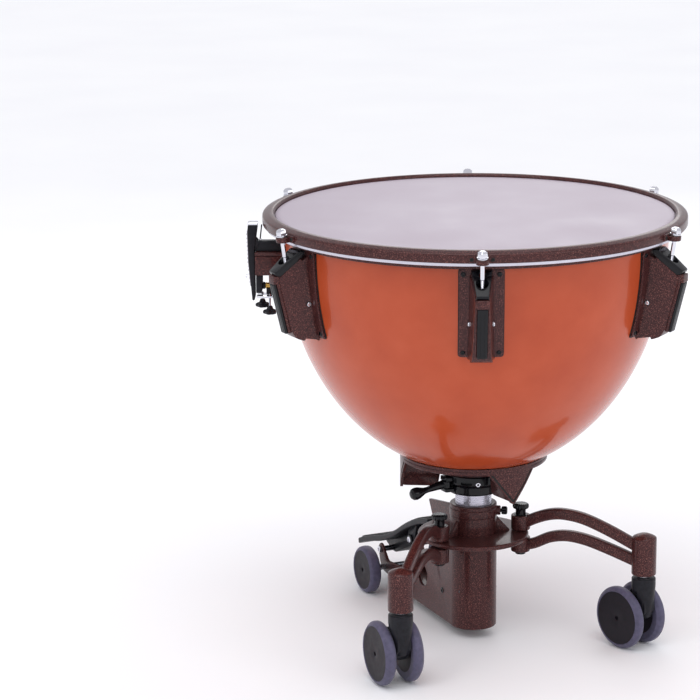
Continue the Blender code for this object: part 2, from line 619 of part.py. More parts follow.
def make_pull_shaft(parent, finish):
    """The rod that the lever draws down. Its stirrup straddles the lever."""
    z = LEVER_PIVOT[1]
    shaft = rod("pull_shaft", (0, 0, z + 0.018), (0, 0, 0.3300), SHAFT_RADIUS, 12, finish)
    bridge = box("bridge", (-0.0125, -0.005, z + 0.0150), (0.0125, 0.005, z + 0.0205))
    cheeks = [box("cheek", (min(s * 0.0092, s * 0.0125), -0.005, z - 0.006),
                  (max(s * 0.0092, s * 0.0125), 0.005, z + 0.0170)) for s in (-1, 1)]
    pin = rod("pin", (-0.0120, 0, z), (0.0120, 0, z), 0.0030, 10)
    joined(shaft, bridge, *cheeks, pin)
    return put(shaft, parent)


# Legs, casters and transport wheels -----------------------------------------------------------
def make_leg(finish):
    """Two curved bars from the hinge bosses to the sleeve that holds a caster's stem."""
    reach = (polar(*CASTER_AT) - polar(*LEG_PIVOT)).length
    boss = turned("leg", [(0, 0.1862), (0.0165, 0.1862), (0.0165, 0.2105), (0.0150, 0.2120), (0, 0.2120)], 16,
                  finish)
    lower_boss = turned("lower_boss", [(0, 0.1470), (0.0150, 0.1470), (0.0165, 0.1485), (0.0165, 0.1756),
                                       (0, 0.1756)], 16)
    upper = bar("upper", [(0.006, 0.1985), (0.030, 0.2105), (0.055, 0.2190), (0.080, 0.2222), (0.115, 0.2182),
                          (0.160, 0.2035), (reach - 0.012, 0.1800)], 0.0075, 0.0088)
    lower = bar("lower", [(0.006, 0.1600), (0.026, 0.1668), (0.055, 0.1785), (0.085, 0.1842), (0.120, 0.1815),
                          (0.160, 0.1710), (reach - 0.012, 0.1545)], 0.0075, 0.0085)
    outline = [(0, SLEEVE_LOW), (SLEEVE_RADIUS, SLEEVE_LOW), (SLEEVE_RADIUS, SLEEVE_TOP - 0.004),
               (SLEEVE_RADIUS - 0.003, SLEEVE_TOP), (0, SLEEVE_TOP + 0.0065)]
    sleeve = turned("sleeve", outline, 18)
    sleeve.data.transform(Matrix.Translation((reach, 0, 0)))
    joined(boss, lower_boss, upper, lower, sleeve)
    bolt = rod("bolt_hole", (0, 0, 0.14), (0, 0, 0.22), BOLT_RADIUS + 0.0008, 10)
    stem = rod("stem_hole", (reach, 0, 0.12), (reach, 0, 0.1960), 0.0086, 10)
    return cut(boss, bolt, stem)


def make_leg_knob(finish):
    """The mushroom knob and bolt that lock a leg where it is swung."""
    return turned("leg_knob", [(0, 0.1420), (0.0090, 0.1420), (0.0090, 0.1465), (BOLT_RADIUS, 0.1465),
                               (BOLT_RADIUS, 0.2126), (0.0090, 0.2126), (0.0090, 0.2220), (0.0134, 0.2240),
                               (0.0134, 0.2315), (0, 0.2330)], 12, finish)


def wheel_drop(radius):
    """Height of a wheel's axle over the floor when one of its facets lies flat on it."""
    return radius * cos(pi / WHEEL_STEPS)


def make_caster_fork(finish):
    """The swivel body. It trails along +X, with its axle along Y."""
    axle_z = wheel_drop(CASTER_WHEEL)
    body = prism("caster_fork", [(-0.0180, 0.1140), (-0.0200, 0.0960), (-0.0120, 0.0640), (0.0080, 0.0450),
                                 (0.0300, 0.0400), (0.0420, 0.0460), (0.0460, 0.0600), (0.0580, 0.0640),
                                 (0.0590, 0.0780), (0.0480, 0.0900), (0.0200, 0.1020), (0.0180, 0.1140)],
                 -0.0095, 0.0095, "Y", finish)
    collar = turned("collar", [(0, 0.0980), (0.0150, 0.0980), (0.0205, 0.1080), (0.0205, 0.1280),
                               (0.0080, 0.1280), (0.0080, 0.1920), (0, 0.1920)], 14)
    axle = rod("axle", (CASTER_TRAIL, -0.0300, axle_z), (CASTER_TRAIL, 0.0300, axle_z), 0.0058, 10)
    joined(body, collar, axle)
    notch = prism("notch", [(0.0500, 0.0450), (0.0700, 0.0450), (0.0700, 0.0950), (0.0500, 0.0850)],
                  -0.0046, 0.0046, "Y")
    pin_hole = rod("pin_hole", (0.0545, -0.02, 0.0710), (0.0545, 0.02, 0.0710), 0.0030, 8)
    return cut(body, notch, pin_hole)


def make_brake(finish):
    """The foot tab between a caster's wheels, on its own small pin."""
    tab = prism("caster_brake", [(0.0520, 0.0745), (0.0575, 0.0755), (0.0800, 0.0630), (0.0925, 0.0580),
                                 (0.0925, 0.0540), (0.0780, 0.0530), (0.0520, 0.0660)],
                -0.0040, 0.0040, "Y", finish)
    pin = rod("pin", (0.0545, -0.0090, 0.0710), (0.0545, 0.0090, 0.0710), 0.0025, 8)
    joined(tab, pin)
    return origin_to(tab, (0.0545, 0, 0.0710))


def make_wheel(name, radius, inner, outer, bore, finish, blind):
    """A wheel on the Y axis from inner to outer, with a round-edged tread and a closed outer face."""
    edge = 0.12 * radius
    profile = [(0, outer), (radius - edge, outer), (radius, outer - edge), (radius, inner + edge),
               (radius - edge, inner), (bore, inner), (bore, blind), (0, blind)]
    made = turned(name, profile[::-1], WHEEL_STEPS, finish)
    made.data.transform(Matrix.Rotation(radians(-90), 4, "X") @ Matrix.Rotation(radians(90), 4, "Z"))
    return made


def make_running_gear(base, finishes):
    """Both legs with their knobs and casters, and the two transport wheels on their axle."""
    leg = make_leg(finishes["brown"])
    knob = make_leg_knob(finishes["black"])
    fork = make_caster_fork(finishes["black"])
    brake = make_brake(finishes["black"])
    wheel = make_wheel("caster_wheel", CASTER_WHEEL, 0.0115, 0.0345, 0.0064, finishes["tyre"], 0.0304)
    axle_z = wheel_drop(CASTER_WHEEL)
    for side, sign in (("left", 1), ("right", -1)):
        pivot_turn = LEG_PIVOT[1] if sign > 0 else 180 - LEG_PIVOT[1]
        caster_turn = CASTER_AT[1] if sign > 0 else 180 - CASTER_AT[1]
        pivot, foot = polar(LEG_PIVOT[0], pivot_turn), polar(CASTER_AT[0], caster_turn)
        heading = degrees(atan2(foot.y - pivot.y, foot.x - pivot.x))
        hinge = empty(f"leg_hinge_{side}", base, pivot, heading)
        put(copy_of(leg, f"leg_{side}"), hinge)
        put(copy_of(knob, f"leg_knob_{side}"), hinge)
        swivel = empty(f"swivel_{side}", base, foot, CASTER_HEADINGS[side])
        put(copy_of(fork, f"caster_fork_{side}"), swivel)
        put(copy_of(brake, f"caster_brake_{side}"), swivel, (0.0545, 0, 0.0710))
        for place, flip in (("outer", 0), ("inner", 180)):
            spin = (0, 0, flip)
            put(copy_of(wheel, f"caster_wheel_{side}_{place}"), swivel, (CASTER_TRAIL, 0, axle_z), spin)
    for pattern in (leg, knob, fork, brake, wheel):
        bpy.data.objects.remove(pattern, do_unlink=True)

    y, z = TRANSPORT_AXLE
    axle = rod("wheel_axle", (-0.0800, 0, 0), (0.0800, 0, 0), 0.0050, 12, finishes["steel"])
    put(axle, base, (0, y, wheel_drop(z)))
    small = make_wheel("transport_wheel", TRANSPORT_WHEEL, 0.0620, 0.0860, 0.0054, finishes["tyre"], 0.0804)
    for side, turn in (("left", -90), ("right", 90)):
        put(copy_of(small, f"transport_wheel_{side}"), base, (0, y, wheel_drop(z)), (0, 0, turn))
    bpy.data.objects.remove(small, do_unlink=True)


# The whole drum -------------------------------------------------------------------------------
def make_stations(kettle, finishes):
    """A casing, rocker, pull rod and tension rod at each tuning station."""
    casing = make_lug_casing(finishes["brown"])
    rocker = make_rocker(finishes["steel"])
    pull = make_pull_rod(finishes["steel"])
    for index in range(STATIONS):
        number = index + 1
        station = empty(f"station_{number}", kettle, (0, 0, 0), 360 / STATIONS * index)
        put(copy_of(casing, f"lug_casing_{number}"), station)
        put(copy_of(rocker, f"rocker_{number}"), station, (ROCKER_PIVOT[0], 0, ROCKER_PIVOT[1]))
        put(copy_of(pull, f"pull_rod_{number}"), station, (SPIDER_PIN[0], 0, SPIDER_PIN[1]))
        make_tension_rod(f"tension_rod_{number}", station, finishes["chrome"])
    for pattern in (casing, rocker, pull):
        bpy.data.objects.remove(pattern, do_unlink=True)


def main():
    clear_scene()
    finishes = {
        "orange": material("orange_lacquer", (0.45, 0.07, 0.03), 0.15),
        "brown": material("brown_hammered_paint", (0.05, 0.022, 0.02), 0.35, 0.4),
        "black": material("black_plastic", (0.012, 0.012, 0.014), 0.4),
        "chrome": material("chrome", (0.8, 0.8, 0.82), 0.08, 1.0),
        "steel": material("zinc_steel", (0.5, 0.5, 0.52), 0.3, 1.0),
        "silver": material("brushed_aluminium", (0.7, 0.7, 0.72), 0.3, 1.0),
        "film": material("ivory_film", (0.62, 0.58, 0.6), 0.35),
        "tyre": material("grey_rubber", (0.1, 0.09, 0.14), 0.6),
    }
    axis = empty("drum_axis", None, AXIS_AT)
    kettle = empty("kettle", axis, (0, 0, 0), BOWL_TURN)
    gauge = empty("gauge", axis, (0, 0, 0), GAUGE_TURN)
    make_bowl(kettle, finishes["orange"])
    make_bearing_ring(kettle, finishes["brown"])
    make_drumhead(kettle, finishes["film"])
    make_flesh_hoop(kettle, finishes["silver"])
    make_counterhoop(kettle, finishes["brown"])
    make_spider(kettle, finishes["steel"])
    make_stations(kettle, finishes)
    make_gauge(gauge, finishes)
    make_cradle(axis, finishes["brown"])
    make_clamp(axis, finishes)
    make_pillar(axis, finishes["silver"])
    make_base(axis, finishes["brown"])
    make_height_screw(axis, finishes["black"])
    make_pedal(axis, finishes["black"])
    make_pull_lever(axis, finishes["steel"])
    make_pull_shaft(axis, finishes["steel"])
    make_running_gear(axis, finishes)


main()
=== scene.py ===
"""Looks of a pedal timpani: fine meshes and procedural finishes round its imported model.

Metres. Shapes are made about the drum's own axis, in a station's, leg's or caster's own frame, and
then moved to where the record says. Each piece rides on one body of the model.
"""
import json
from math import asin, atan2, cos, degrees, pi, radians, sin, sqrt

import bmesh
import bpy
from mathutils import Matrix, Vector


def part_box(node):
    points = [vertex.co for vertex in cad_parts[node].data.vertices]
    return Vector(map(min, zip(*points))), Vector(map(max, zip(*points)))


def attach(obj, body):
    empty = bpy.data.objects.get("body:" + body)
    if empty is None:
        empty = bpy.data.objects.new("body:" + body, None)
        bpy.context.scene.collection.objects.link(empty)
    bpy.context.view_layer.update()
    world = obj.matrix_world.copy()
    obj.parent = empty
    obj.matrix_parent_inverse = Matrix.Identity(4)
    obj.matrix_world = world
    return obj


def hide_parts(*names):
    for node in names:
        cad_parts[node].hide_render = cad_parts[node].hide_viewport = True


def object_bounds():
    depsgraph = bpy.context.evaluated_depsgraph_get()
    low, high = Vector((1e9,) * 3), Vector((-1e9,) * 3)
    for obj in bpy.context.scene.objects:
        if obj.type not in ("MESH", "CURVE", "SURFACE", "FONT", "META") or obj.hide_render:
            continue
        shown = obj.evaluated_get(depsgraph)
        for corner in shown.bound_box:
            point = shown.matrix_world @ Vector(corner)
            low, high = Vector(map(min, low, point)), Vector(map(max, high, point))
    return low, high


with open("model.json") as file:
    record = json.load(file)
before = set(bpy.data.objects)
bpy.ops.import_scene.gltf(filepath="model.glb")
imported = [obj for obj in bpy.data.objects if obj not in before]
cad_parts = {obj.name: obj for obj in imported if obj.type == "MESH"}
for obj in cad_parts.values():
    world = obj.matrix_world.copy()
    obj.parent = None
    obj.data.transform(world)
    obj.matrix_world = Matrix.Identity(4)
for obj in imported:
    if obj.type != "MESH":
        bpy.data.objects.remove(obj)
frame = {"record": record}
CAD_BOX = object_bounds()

JOINTS = {joint["name"]: joint for joint in frame["record"]["behaviour"]["joints"]}
BOWL_LOW, BOWL_HIGH = (Vector(corner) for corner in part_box("bowl"))
AXIS = Vector(((BOWL_LOW.x + BOWL_HIGH.x) / 2, (BOWL_LOW.y + BOWL_HIGH.y) / 2, 0))
SIDES = ((-1, "a"), (1, "b"))
HANDS = ("left", "right")
FLAT = Vector((1, 1, 0))  # times a place, is that place on the floor

BOWL_RADIUS, BOWL_DEPTH, BOWL_TOP, BOWL_POWER, BOWL_WALL = 0.324, 0.415, 0.715, 2.1, 0.003
CASING_LOW, CASING_HIGH, CASING_HALF_WIDTH = 0.5675, 0.7145, 0.0365
GAUGE_DROP = 0.006  # how far the gauge is below its nodes
ROCKER_PIN = (0.327, 0.626)  # its distance from the axis, and its height
CRADLE_RADIUS, CLAMP_SCREW_HEIGHT, CLAMP_SCREW_TURN = 0.1256, 0.2812, 73
COLUMN, PANEL, WALL, FLOOR_OF_BASE = 0.0403, 0.0398, 0.004, 0.018
PEDAL_BOSS, CROSS_PIN, BRAKE_PIN = (-0.1893, 0.1188), (-0.12, 0.105), (0.0545, 0.071)
BAR_HALF_WIDTH, SLEEVE_RADIUS, CASTER_TRAIL = 0.0078, 0.0209, 0.03
CAMERA_BEARING, CAMERA_DISTANCE, CAMERA_HEIGHT, CAMERA_LENS = 63.8, 4.59, 1.623, 143.41
CAMERA_TURN, CAMERA_PITCH, CAMERA_ROLL = 2.62, 13.69, -0.389
FINE = 192  # steps round the large rings
ROUND = 48  # steps round small turned pieces
SHAFT, GAP = 0.005, 0.0004  # radius of the pedal's pin and of the wheels' axle, and the room round them
CORE = 0.0001  # inner radius of a turned disc with no real hole


# ---- Camera, floor and light ----
def polar(radius, angle, height=0.0):
    return Vector((radius * cos(radians(angle)), radius * sin(radians(angle)), height))


def turned(angle, axis="Z"):
    return Matrix.Rotation(radians(angle), 4, axis)


def shifted(place):
    return Matrix.Translation(place)


def make_camera():
    heading, pitch = radians(CAMERA_BEARING + 180 + CAMERA_TURN), radians(CAMERA_PITCH)
    roll = radians(CAMERA_ROLL)
    level = Vector((cos(heading), sin(heading), 0))
    side = Vector((sin(heading), -cos(heading), 0))
    forward = level * cos(pitch) - Vector((0, 0, sin(pitch)))
    up = level * sin(pitch) + Vector((0, 0, cos(pitch)))
    right, top = side * cos(roll) + up * sin(roll), up * cos(roll) - side * sin(roll)
    data = bpy.data.cameras.new("camera")
    data.sensor_width, data.lens = 36, CAMERA_LENS
    data.clip_end = 200
    camera = bpy.data.objects.new("camera", data)
    bpy.context.collection.objects.link(camera)
    at = AXIS + polar(CAMERA_DISTANCE, CAMERA_BEARING, CAMERA_HEIGHT)
    camera.matrix_world = shifted(at) @ Matrix((right, top, -forward)).transposed().to_4x4()
    bpy.context.scene.camera = camera


def make_light(name, at, target, size, power, kind="AREA"):
    data = bpy.data.lights.new(name, kind)
    data.energy = power
    if kind == "AREA":
        data.shape, data.size = "DISK", size
    else:
        data.angle = size
    light = bpy.data.objects.new(name, data)
    bpy.context.collection.objects.link(light)
    light.location = at
    light.rotation_euler = (Vector(target) - Vector(at)).to_track_quat("-Z", "Y").to_euler()


def feed(node, **values):
    """Sets a node's sockets. An underscore in a name stands for a space."""
    for socket, value in values.items():
        node.inputs[socket.replace("_", " ")].default_value = value


def make_world():
    world = bpy.data.worlds.new("studio")
    world.use_nodes = True
    feed(world.node_tree.nodes["Background"], Color=(0.95, 0.955, 1.0, 1), Strength=0.74)
    bpy.context.scene.world = world
    bpy.context.scene.view_settings.view_transform = "Standard"


make_camera()
make_world()
make_light("sun", AXIS + polar(2.0, 60, 5.0), AXIS, radians(50), 1.05, "SUN")
make_light("key", AXIS + polar(3.0, 20, 2.4), AXIS + polar(0, 0, 0.5), 1.0, 7)
make_light("fill", AXIS + polar(3.2, 110, 1.6), AXIS + polar(0, 0, 0.5), 1.6, 10)
make_light("back", AXIS + polar(3.0, 240, 2.2), AXIS + polar(0, 0, 0.4), 2.0, 16)


# ---- Finishes ----
def linear(colour):
    def one(value):
        value /= 255
        return value / 12.92 if value <= 0.04045 else ((value + 0.055) / 1.055) ** 2.4
    return (*(one(value) for value in colour), 1.0)


def finish(name, tones, scale, roughness, at=(0.3, 0.7), metallic=0.0, bump=None, stretch=(1, 1, 1),
        cells=False, coat=0.0, coat_roughness=0.05, specular=0.5, sheen=0.0):
    """A Principled material. One pattern colours it, and sets its roughness; another makes its relief.

    tones are sRGB colours, and at their places along the pattern; roughness is its lowest and highest;
    bump is (scale, strength, distance) of the relief, which is made of cells or else of noise.
    """
    made = bpy.data.materials.new(name)
    made.use_nodes = True
    nodes = made.node_tree.nodes

    def wire(start, output, end, socket):
        made.node_tree.links.new(start.outputs[output], end.inputs[socket])

    shader = nodes["Principled BSDF"]
    feed(shader, Metallic=metallic, Coat_Weight=coat, Coat_Roughness=coat_roughness,
        Specular_IOR_Level=specular, Sheen_Weight=sheen)
    place, mapping = nodes.new("ShaderNodeTexCoord"), nodes.new("ShaderNodeMapping")
    feed(mapping, Scale=stretch)
    wire(place, "Object", mapping, "Vector")
    pattern = nodes.new("ShaderNodeTexNoise")
    feed(pattern, Scale=scale, Detail=5)
    wire(mapping, "Vector", pattern, "Vector")
    ramp = nodes.new("ShaderNodeValToRGB")
    steps = ramp.color_ramp.elements
    while len(steps) < len(tones):
        steps.new(0.5)
    for step, position, colour in zip(steps, at, tones):
        step.position, step.color = position, linear(colour)
    wire(pattern, "Fac", ramp, "Fac")
    wire(ramp, "Color", shader, "Base Color")
    rough = nodes.new("ShaderNodeMapRange")
    feed(rough, From_Min=0.3, From_Max=0.7, To_Min=roughness[0], To_Max=roughness[1])
    wire(pattern, "Fac", rough, "Value")
    wire(rough, "Result", shader, "Roughness")
    if bump:
        relief = nodes.new("ShaderNodeTexVoronoi" if cells else "ShaderNodeTexNoise")
        feed(relief, Scale=bump[0])
        wire(mapping, "Vector", relief, "Vector")
        normal = nodes.new("ShaderNodeBump")
        feed(normal, Strength=bump[1], Distance=bump[2])
        wire(relief, "Distance" if cells else "Fac", normal, "Height")
        wire(normal, "Normal", shader, "Normal")
    return made


ORANGE = finish("orange_lacquer", [(180, 72, 38), (186, 77, 42), (191, 82, 47)], 14, (0.2, 0.26),
    (0.3, 0.5, 0.7), bump=(700, 0.02, 0.0004), coat=0.35, coat_roughness=0.04, specular=0.22)
# The lightest tone, where the pattern is highest, makes small bright specks: the hammered paint's flakes
# are real, but their sparkle is a painted glint.
BROWN = finish("hammered_brown", [(50, 25, 26), (66, 34, 35), (90, 49, 47), (140, 90, 82)], 720,
    (0.26, 0.4), (0.4, 0.51, 0.59, 0.68), metallic=0.15, bump=(520, 0.22, 0.0004), cells=True, coat=0.3,
    coat_roughness=0.06, specular=0.14)
BLACK = finish("black_plastic", [(22, 22, 27), (34, 34, 40)], 160, (0.34, 0.46),
    bump=(1500, 0.12, 0.0002), specular=0.2)
GLOSS_BLACK = finish("gloss_black", [(10, 10, 14), (18, 18, 23)], 60, (0.16, 0.24),
    bump=(900, 0.03, 0.0002), coat=0.2, specular=0.2)
# Black for the casing gaskets, the claw screws and the gauge marks; it is also the painted shade in the
# cradle feet's grooves.
GASKET_AND_SHADE = finish("black_gasket_and_shade", [(14, 13, 13), (24, 22, 22)], 300, (0.6, 0.75), bump=(1200, 0.2, 0.0002))
CHROME = finish("chrome", [(214, 214, 222), (232, 232, 238)], 40, (0.05, 0.11), metallic=1.0,
    bump=(300, 0.02, 0.0002))
SILVER = finish("brushed_aluminium", [(196, 194, 206), (220, 218, 228)], 90, (0.22, 0.32), metallic=1.0,
    stretch=(1, 1, 30), bump=(260, 0.08, 0.0002))
STEEL = finish("zinc_steel", [(140, 142, 150), (180, 182, 190)], 120, (0.25, 0.4), metallic=1.0,
    bump=(500, 0.08, 0.0002))
BRASS = finish("brass", [(176, 136, 66), (208, 172, 96)], 200, (0.18, 0.3), metallic=1.0,
    bump=(800, 0.05, 0.0002))
FILM = finish("ivory_film", [(160, 146, 160), (162, 148, 162), (165, 151, 164)], 9, (0.34, 0.46),
    (0.32, 0.5, 0.68), bump=(240, 0.04, 0.0003), specular=0.4)
RUBBER = finish("grey_rubber", [(72, 69, 91), (91, 87, 112)], 130, (0.5, 0.64), bump=(900, 0.12, 0.0003),
    specular=0.35, sheen=0.1)
HUB = finish("dark_hub", [(22, 18, 25), (32, 27, 35)], 110, (0.4, 0.52), bump=(1100, 0.1, 0.0002),
    specular=0.2)
TREAD = finish("pedal_rubber", [(24, 24, 26), (40, 39, 42)], 220, (0.6, 0.75), bump=(800, 0.25, 0.0004))
FLOOR = finish("pale_floor", [(247, 247, 249), (250, 250, 251)], 2, (0.8, 0.9))


# ---- Shape helpers ----
def smooth(thing, angle=24):
    thing.data.shade_smooth()
    thing.data.set_sharp_from_angle(angle=radians(angle))
    return thing


def solid(name, points, faces, look=None):
    """A closed mesh object whose faces point out. A cutter needs no look."""
    mesh, shape = bpy.data.meshes.new(name), bmesh.new()
    corners = [shape.verts.new(point) for point in points]
    for face in faces:
        shape.faces.new([corners[index] for index in face])
    bmesh.ops.recalc_face_normals(shape, faces=shape.faces)
    shape.to_mesh(mesh)
    shape.free()
    if look:
        mesh.materials.append(look)
    made = bpy.data.objects.new(name, mesh)
    bpy.context.collection.objects.link(made)
    return smooth(made)


def lathe(name, profile, look, steps=ROUND, spread=None):
    """A profile of (radius, height) turned about Z. spread(angle, row) scales a point's radius."""
    points, rings = [], []
    for row, (radius, height) in enumerate(profile):
        if radius == 0:
            rings.append([len(points)] * steps)
            points.append((0, 0, height))
            continue
        rings.append([len(points) + step for step in range(steps)])
        for step in range(steps):
            angle = 2 * pi * step / steps
            reach = radius * (spread(angle, row) if spread else 1)
            points.append((reach * cos(angle), reach * sin(angle), height))
    faces = []
    for ring, after in zip(rings, rings[1:] + rings[:1]):
        for step in range(steps):
            face = list(dict.fromkeys([ring[step], ring[step - 1], after[step - 1], after[step]]))
            if len(face) > 2:
                faces.append(face)
    return solid(name, points, faces, look)


def loft(name, rings, look=None):
    """A closed skin over rings of points, all with the same count."""
    count, points = len(rings[0]), [point for ring in rings for point in ring]
    faces = [list(range(count)), list(range(len(points) - count, len(points)))]
    for row in range(len(rings) - 1):
        for index in range(count):
            here, after = row * count + index, row * count + (index + 1) % count
            faces.append([here, after, after + count, here + count])
    return solid(name, points, faces, look)


def prism(name, outline, low, high, axis, look=None):
    """An outline pulled along an axis. It is in XY for Z, XZ for Y, and YZ for X."""
    place = {"Z": lambda u, v, w: (u, v, w), "Y": lambda u, v, w: (u, w, v), "X": lambda u, v,
        w: (w, u, v)}[axis]
    return loft(name, [[place(u, v, w) for u, v in outline] for w in (low, high)], look)


def tapered(name, outline, near, far, look=None):
    """An XZ outline pulled both ways along Y, to a half width that falls from near to far in X."""
    def half(x):
        return near[1] + (far[1] - near[1]) * (x - near[0]) / (far[0] - near[0])
    return loft(name, [[(x, side * half(x), z) for x, z in outline] for side in (-1, 1)], look)


def filleted(outline, radius, count=5):
    """A closed outline with each corner rounded by a short curve."""
    found = []
    for index, corner in enumerate(outline):
        corner = Vector(corner)
        before, after = Vector(outline[index - 1]), Vector(outline[(index + 1) % len(outline)])
        start = corner + (before - corner).normalized() * min(radius, (before - corner).length * 0.45)
        end = corner + (after - corner).normalized() * min(radius, (after - corner).length * 0.45)
        for step in range(count):
            t = step / (count - 1)
            found.append(tuple((1 - t) ** 2 * start + 2 * t * (1 - t) * corner + t * t * end))
    return found


def spline(path, count):
    """Points on a smooth curve through a path's points."""
    ends = [2 * Vector(path[0]) - Vector(path[1])] + [Vector(point) for point in path]
    ends.append(2 * Vector(path[-1]) - Vector(path[-2]))
    found = []
    for step in range(count):
        along = step / (count - 1) * (len(path) - 1)
        index = min(int(along), len(path) - 2)
        t = along - index
        a, b, c, d = ends[index:index + 4]
        found.append(0.5 * (2 * b + (c - a) * t + (2 * a - 5 * b + 4 * c - d) * t * t
            + (3 * b - a - 3 * c + d) * t ** 3))
    return found


def sweep(name, path, half_width, half_height, look, corner=0.004, count=36):
    """A bar of rounded section whose centre line bends in XZ. A half size may be (first, last)."""
    line, rings = spline(path, count), []
    for index, point in enumerate(line):
        before, after = line[max(index - 1, 0)], line[min(index + 1, count - 1)]
        along = (after - before).normalized()
        t = index / (count - 1)
        wide, tall = (size if not isinstance(size, tuple) else size[0] + (size[1] - size[0]) * t
            for size in (half_width, half_height))
        section = filleted([(-wide, -tall), (wide, -tall), (wide, tall), (-wide, tall)], corner, 5)
        rings.append([(point[0] - along[1] * up, side, point[1] + along[0] * up) for side, up in section])
    return loft(name, rings, look)


def rod(name, start, end, radius, look=None, steps=24, edge=0.0006):
    """A round bar between two points, its ends eased."""
    start, end = Vector(start), Vector(end)
    long = (end - start).length
    edge = min(edge, radius * 0.4, long * 0.2)
    made = lathe(name, [(0, 0), (radius - edge, 0), (radius, edge), (radius, long - edge),
        (radius - edge, long), (0, long)], look, steps)
    turn = (end - start).to_track_quat("Z", "Y").to_matrix().to_4x4()
    made.data.transform(shifted(start) @ turn)
    return made


def cross_bar(name, half, place, radius, look=None, steps=24, edge=0.0006):
    """A round bar along X, across the middle plane at a place in YZ."""
    return rod(name, (-half, *place), (half, *place), radius, look, steps, edge)


def bevelled(thing, width, steps=3, angle=30):
    shape = bmesh.new()
    shape.from_mesh(thing.data)
    sharp = [edge for edge in shape.edges if len(edge.link_faces) == 2
        and edge.calc_face_angle() > radians(angle)]
    bmesh.ops.bevel(shape, geom=sharp, offset=width, segments=steps, profile=0.5, affect="EDGES",
        clamp_overlap=True)
    bmesh.ops.recalc_face_normals(shape, faces=shape.faces)
    shape.to_mesh(thing.data)
    shape.free()
    return smooth(thing)


def combine(base, others, operation):
    for other in others:
        step = base.modifiers.new(operation, "BOOLEAN")
        step.operation, step.solver, step.object = operation, "EXACT", other
    bpy.context.view_layer.update()
    mesh = bpy.data.meshes.new_from_object(base.evaluated_get(bpy.context.evaluated_depsgraph_get()))
    base.modifiers.clear()
    base.data = mesh
    for other in others:
        bpy.data.objects.remove(other, do_unlink=True)
    return smooth(base)


def joined(base, *others):
    return combine(base, others, "UNION")


def cut(base, *others):
    return combine(base, others, "DIFFERENCE")


def moved(thing, at=(0, 0, 0), turn=0.0, tilt=0.0, axis="Y"):
    thing.data.transform(shifted(at) @ turned(turn) @ turned(tilt, axis))
    return thing


def piece(thing, body, *nodes, place=None):
    """Hands a finished mesh in: puts it in the world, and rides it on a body."""
    thing.data.transform(place if place is not None else shifted(AXIS))
    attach(thing, body)
    if nodes:
        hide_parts(*nodes)
    return thing


def copies(pattern, places, name, body, *nodes):
    """One copy of a pattern at each place. A # in a name is the place's label. The pattern goes."""
    for label, place in places.items():
        made = bpy.data.objects.new(name.replace("#", label), pattern.data.copy())
        bpy.context.collection.objects.link(made)
        piece(made, body.replace("#", label), *(node.replace("#", label) for node in nodes), place=place)
    bpy.data.objects.remove(pattern, do_unlink=True)


def joint_at(name):
    return Vector(JOINTS[name]["pos_m"])


def bearing(name):
    """Direction of a joint from the drum's axis, in degrees."""
    at = joint_at(name) - AXIS
    return degrees(atan2(at.y, at.x))


def towards(name, other):
    """A frame on the floor under one joint, with its X towards another."""
    run = joint_at(other) * FLAT - joint_at(name) * FLAT
    return shifted(joint_at(name) * FLAT) @ Matrix.Rotation(atan2(run.y, run.x), 4, "Z")


def about_axis(angle):
    return shifted(AXIS) @ turned(angle)


STATIONS = {number: about_axis(bearing(f"rocker_{number}_turn")) for number in "123456"}
HINGES = {name: towards(f"leg_{name}_fold", f"caster_{name}_swivel") for name in HANDS}
SWIVELS = {name: towards(f"caster_{name}_swivel", f"caster_wheel_{name}_outer_roll") for name in HANDS}


def at_stations(pattern, name, body, *nodes):
    copies(pattern, STATIONS, name, body, *nodes)


def bowl_height(radius, offset=0.0):
    reach = radius / (BOWL_RADIUS + offset)
    return BOWL_TOP - (BOWL_DEPTH + offset) * (1 - reach * reach) ** (1 / BOWL_POWER)


def bowl_radius(height, offset=0.0):
    reach = max(0.0, (BOWL_TOP - height) / (BOWL_DEPTH + offset))
    return (BOWL_RADIUS + offset) * sqrt(1 - reach**BOWL_POWER)


def bent(name, outline, look, cuts, bend):
    """An outline in YZ, one deep in X, cut along planes and then bent by a function of its points."""
    flat, shape = prism(name, outline, 0, 1, "X", look), bmesh.new()
    shape.from_mesh(flat.data)
    bmesh.ops.triangulate(shape, faces=[face for face in shape.faces if len(face.verts) > 4])
    for at, facing in cuts:
        geometry = shape.verts[:] + shape.edges[:] + shape.faces[:]
        bmesh.ops.bisect_plane(shape, geom=geometry, plane_co=at, plane_no=facing)
    for vertex in shape.verts:
        bend(vertex.co)
    shape.to_mesh(flat.data)
    shape.free()
    return smooth(flat, 40)


def disc(name, inner, outer, low, high, look, edge, steps, count=5):
    """A turned disc or ring with rounded edges."""
    outline = [(inner, low), (outer, low), (outer, high), (inner, high)]
    return lathe(name, filleted(outline, edge, count), look, steps)


def eased(name, outline, corner, low, high, axis, look, width, steps=2, angle=50):
    """A prism with rounded corners and bevelled edges."""
    return bevelled(prism(name, filleted(outline, corner), low, high, axis, look), width, steps, angle)


def button_screw(name, radius, height, look):
    """A domed screw head along +Z, with a six-sided socket."""
    def hexagon(angle, row):
        return 1 / cos((angle + pi / 6) % (pi / 3) - pi / 6) * 0.93 if row >= 5 else 1.0
    return lathe(name, [(0, 0), (radius, 0), (radius, height * 0.35), (radius * 0.86, height * 0.8),
        (radius * 0.52, height), (radius * 0.44, height * 0.97), (radius * 0.4, height * 0.35),
        (0, height * 0.3)], look, 24, hexagon)


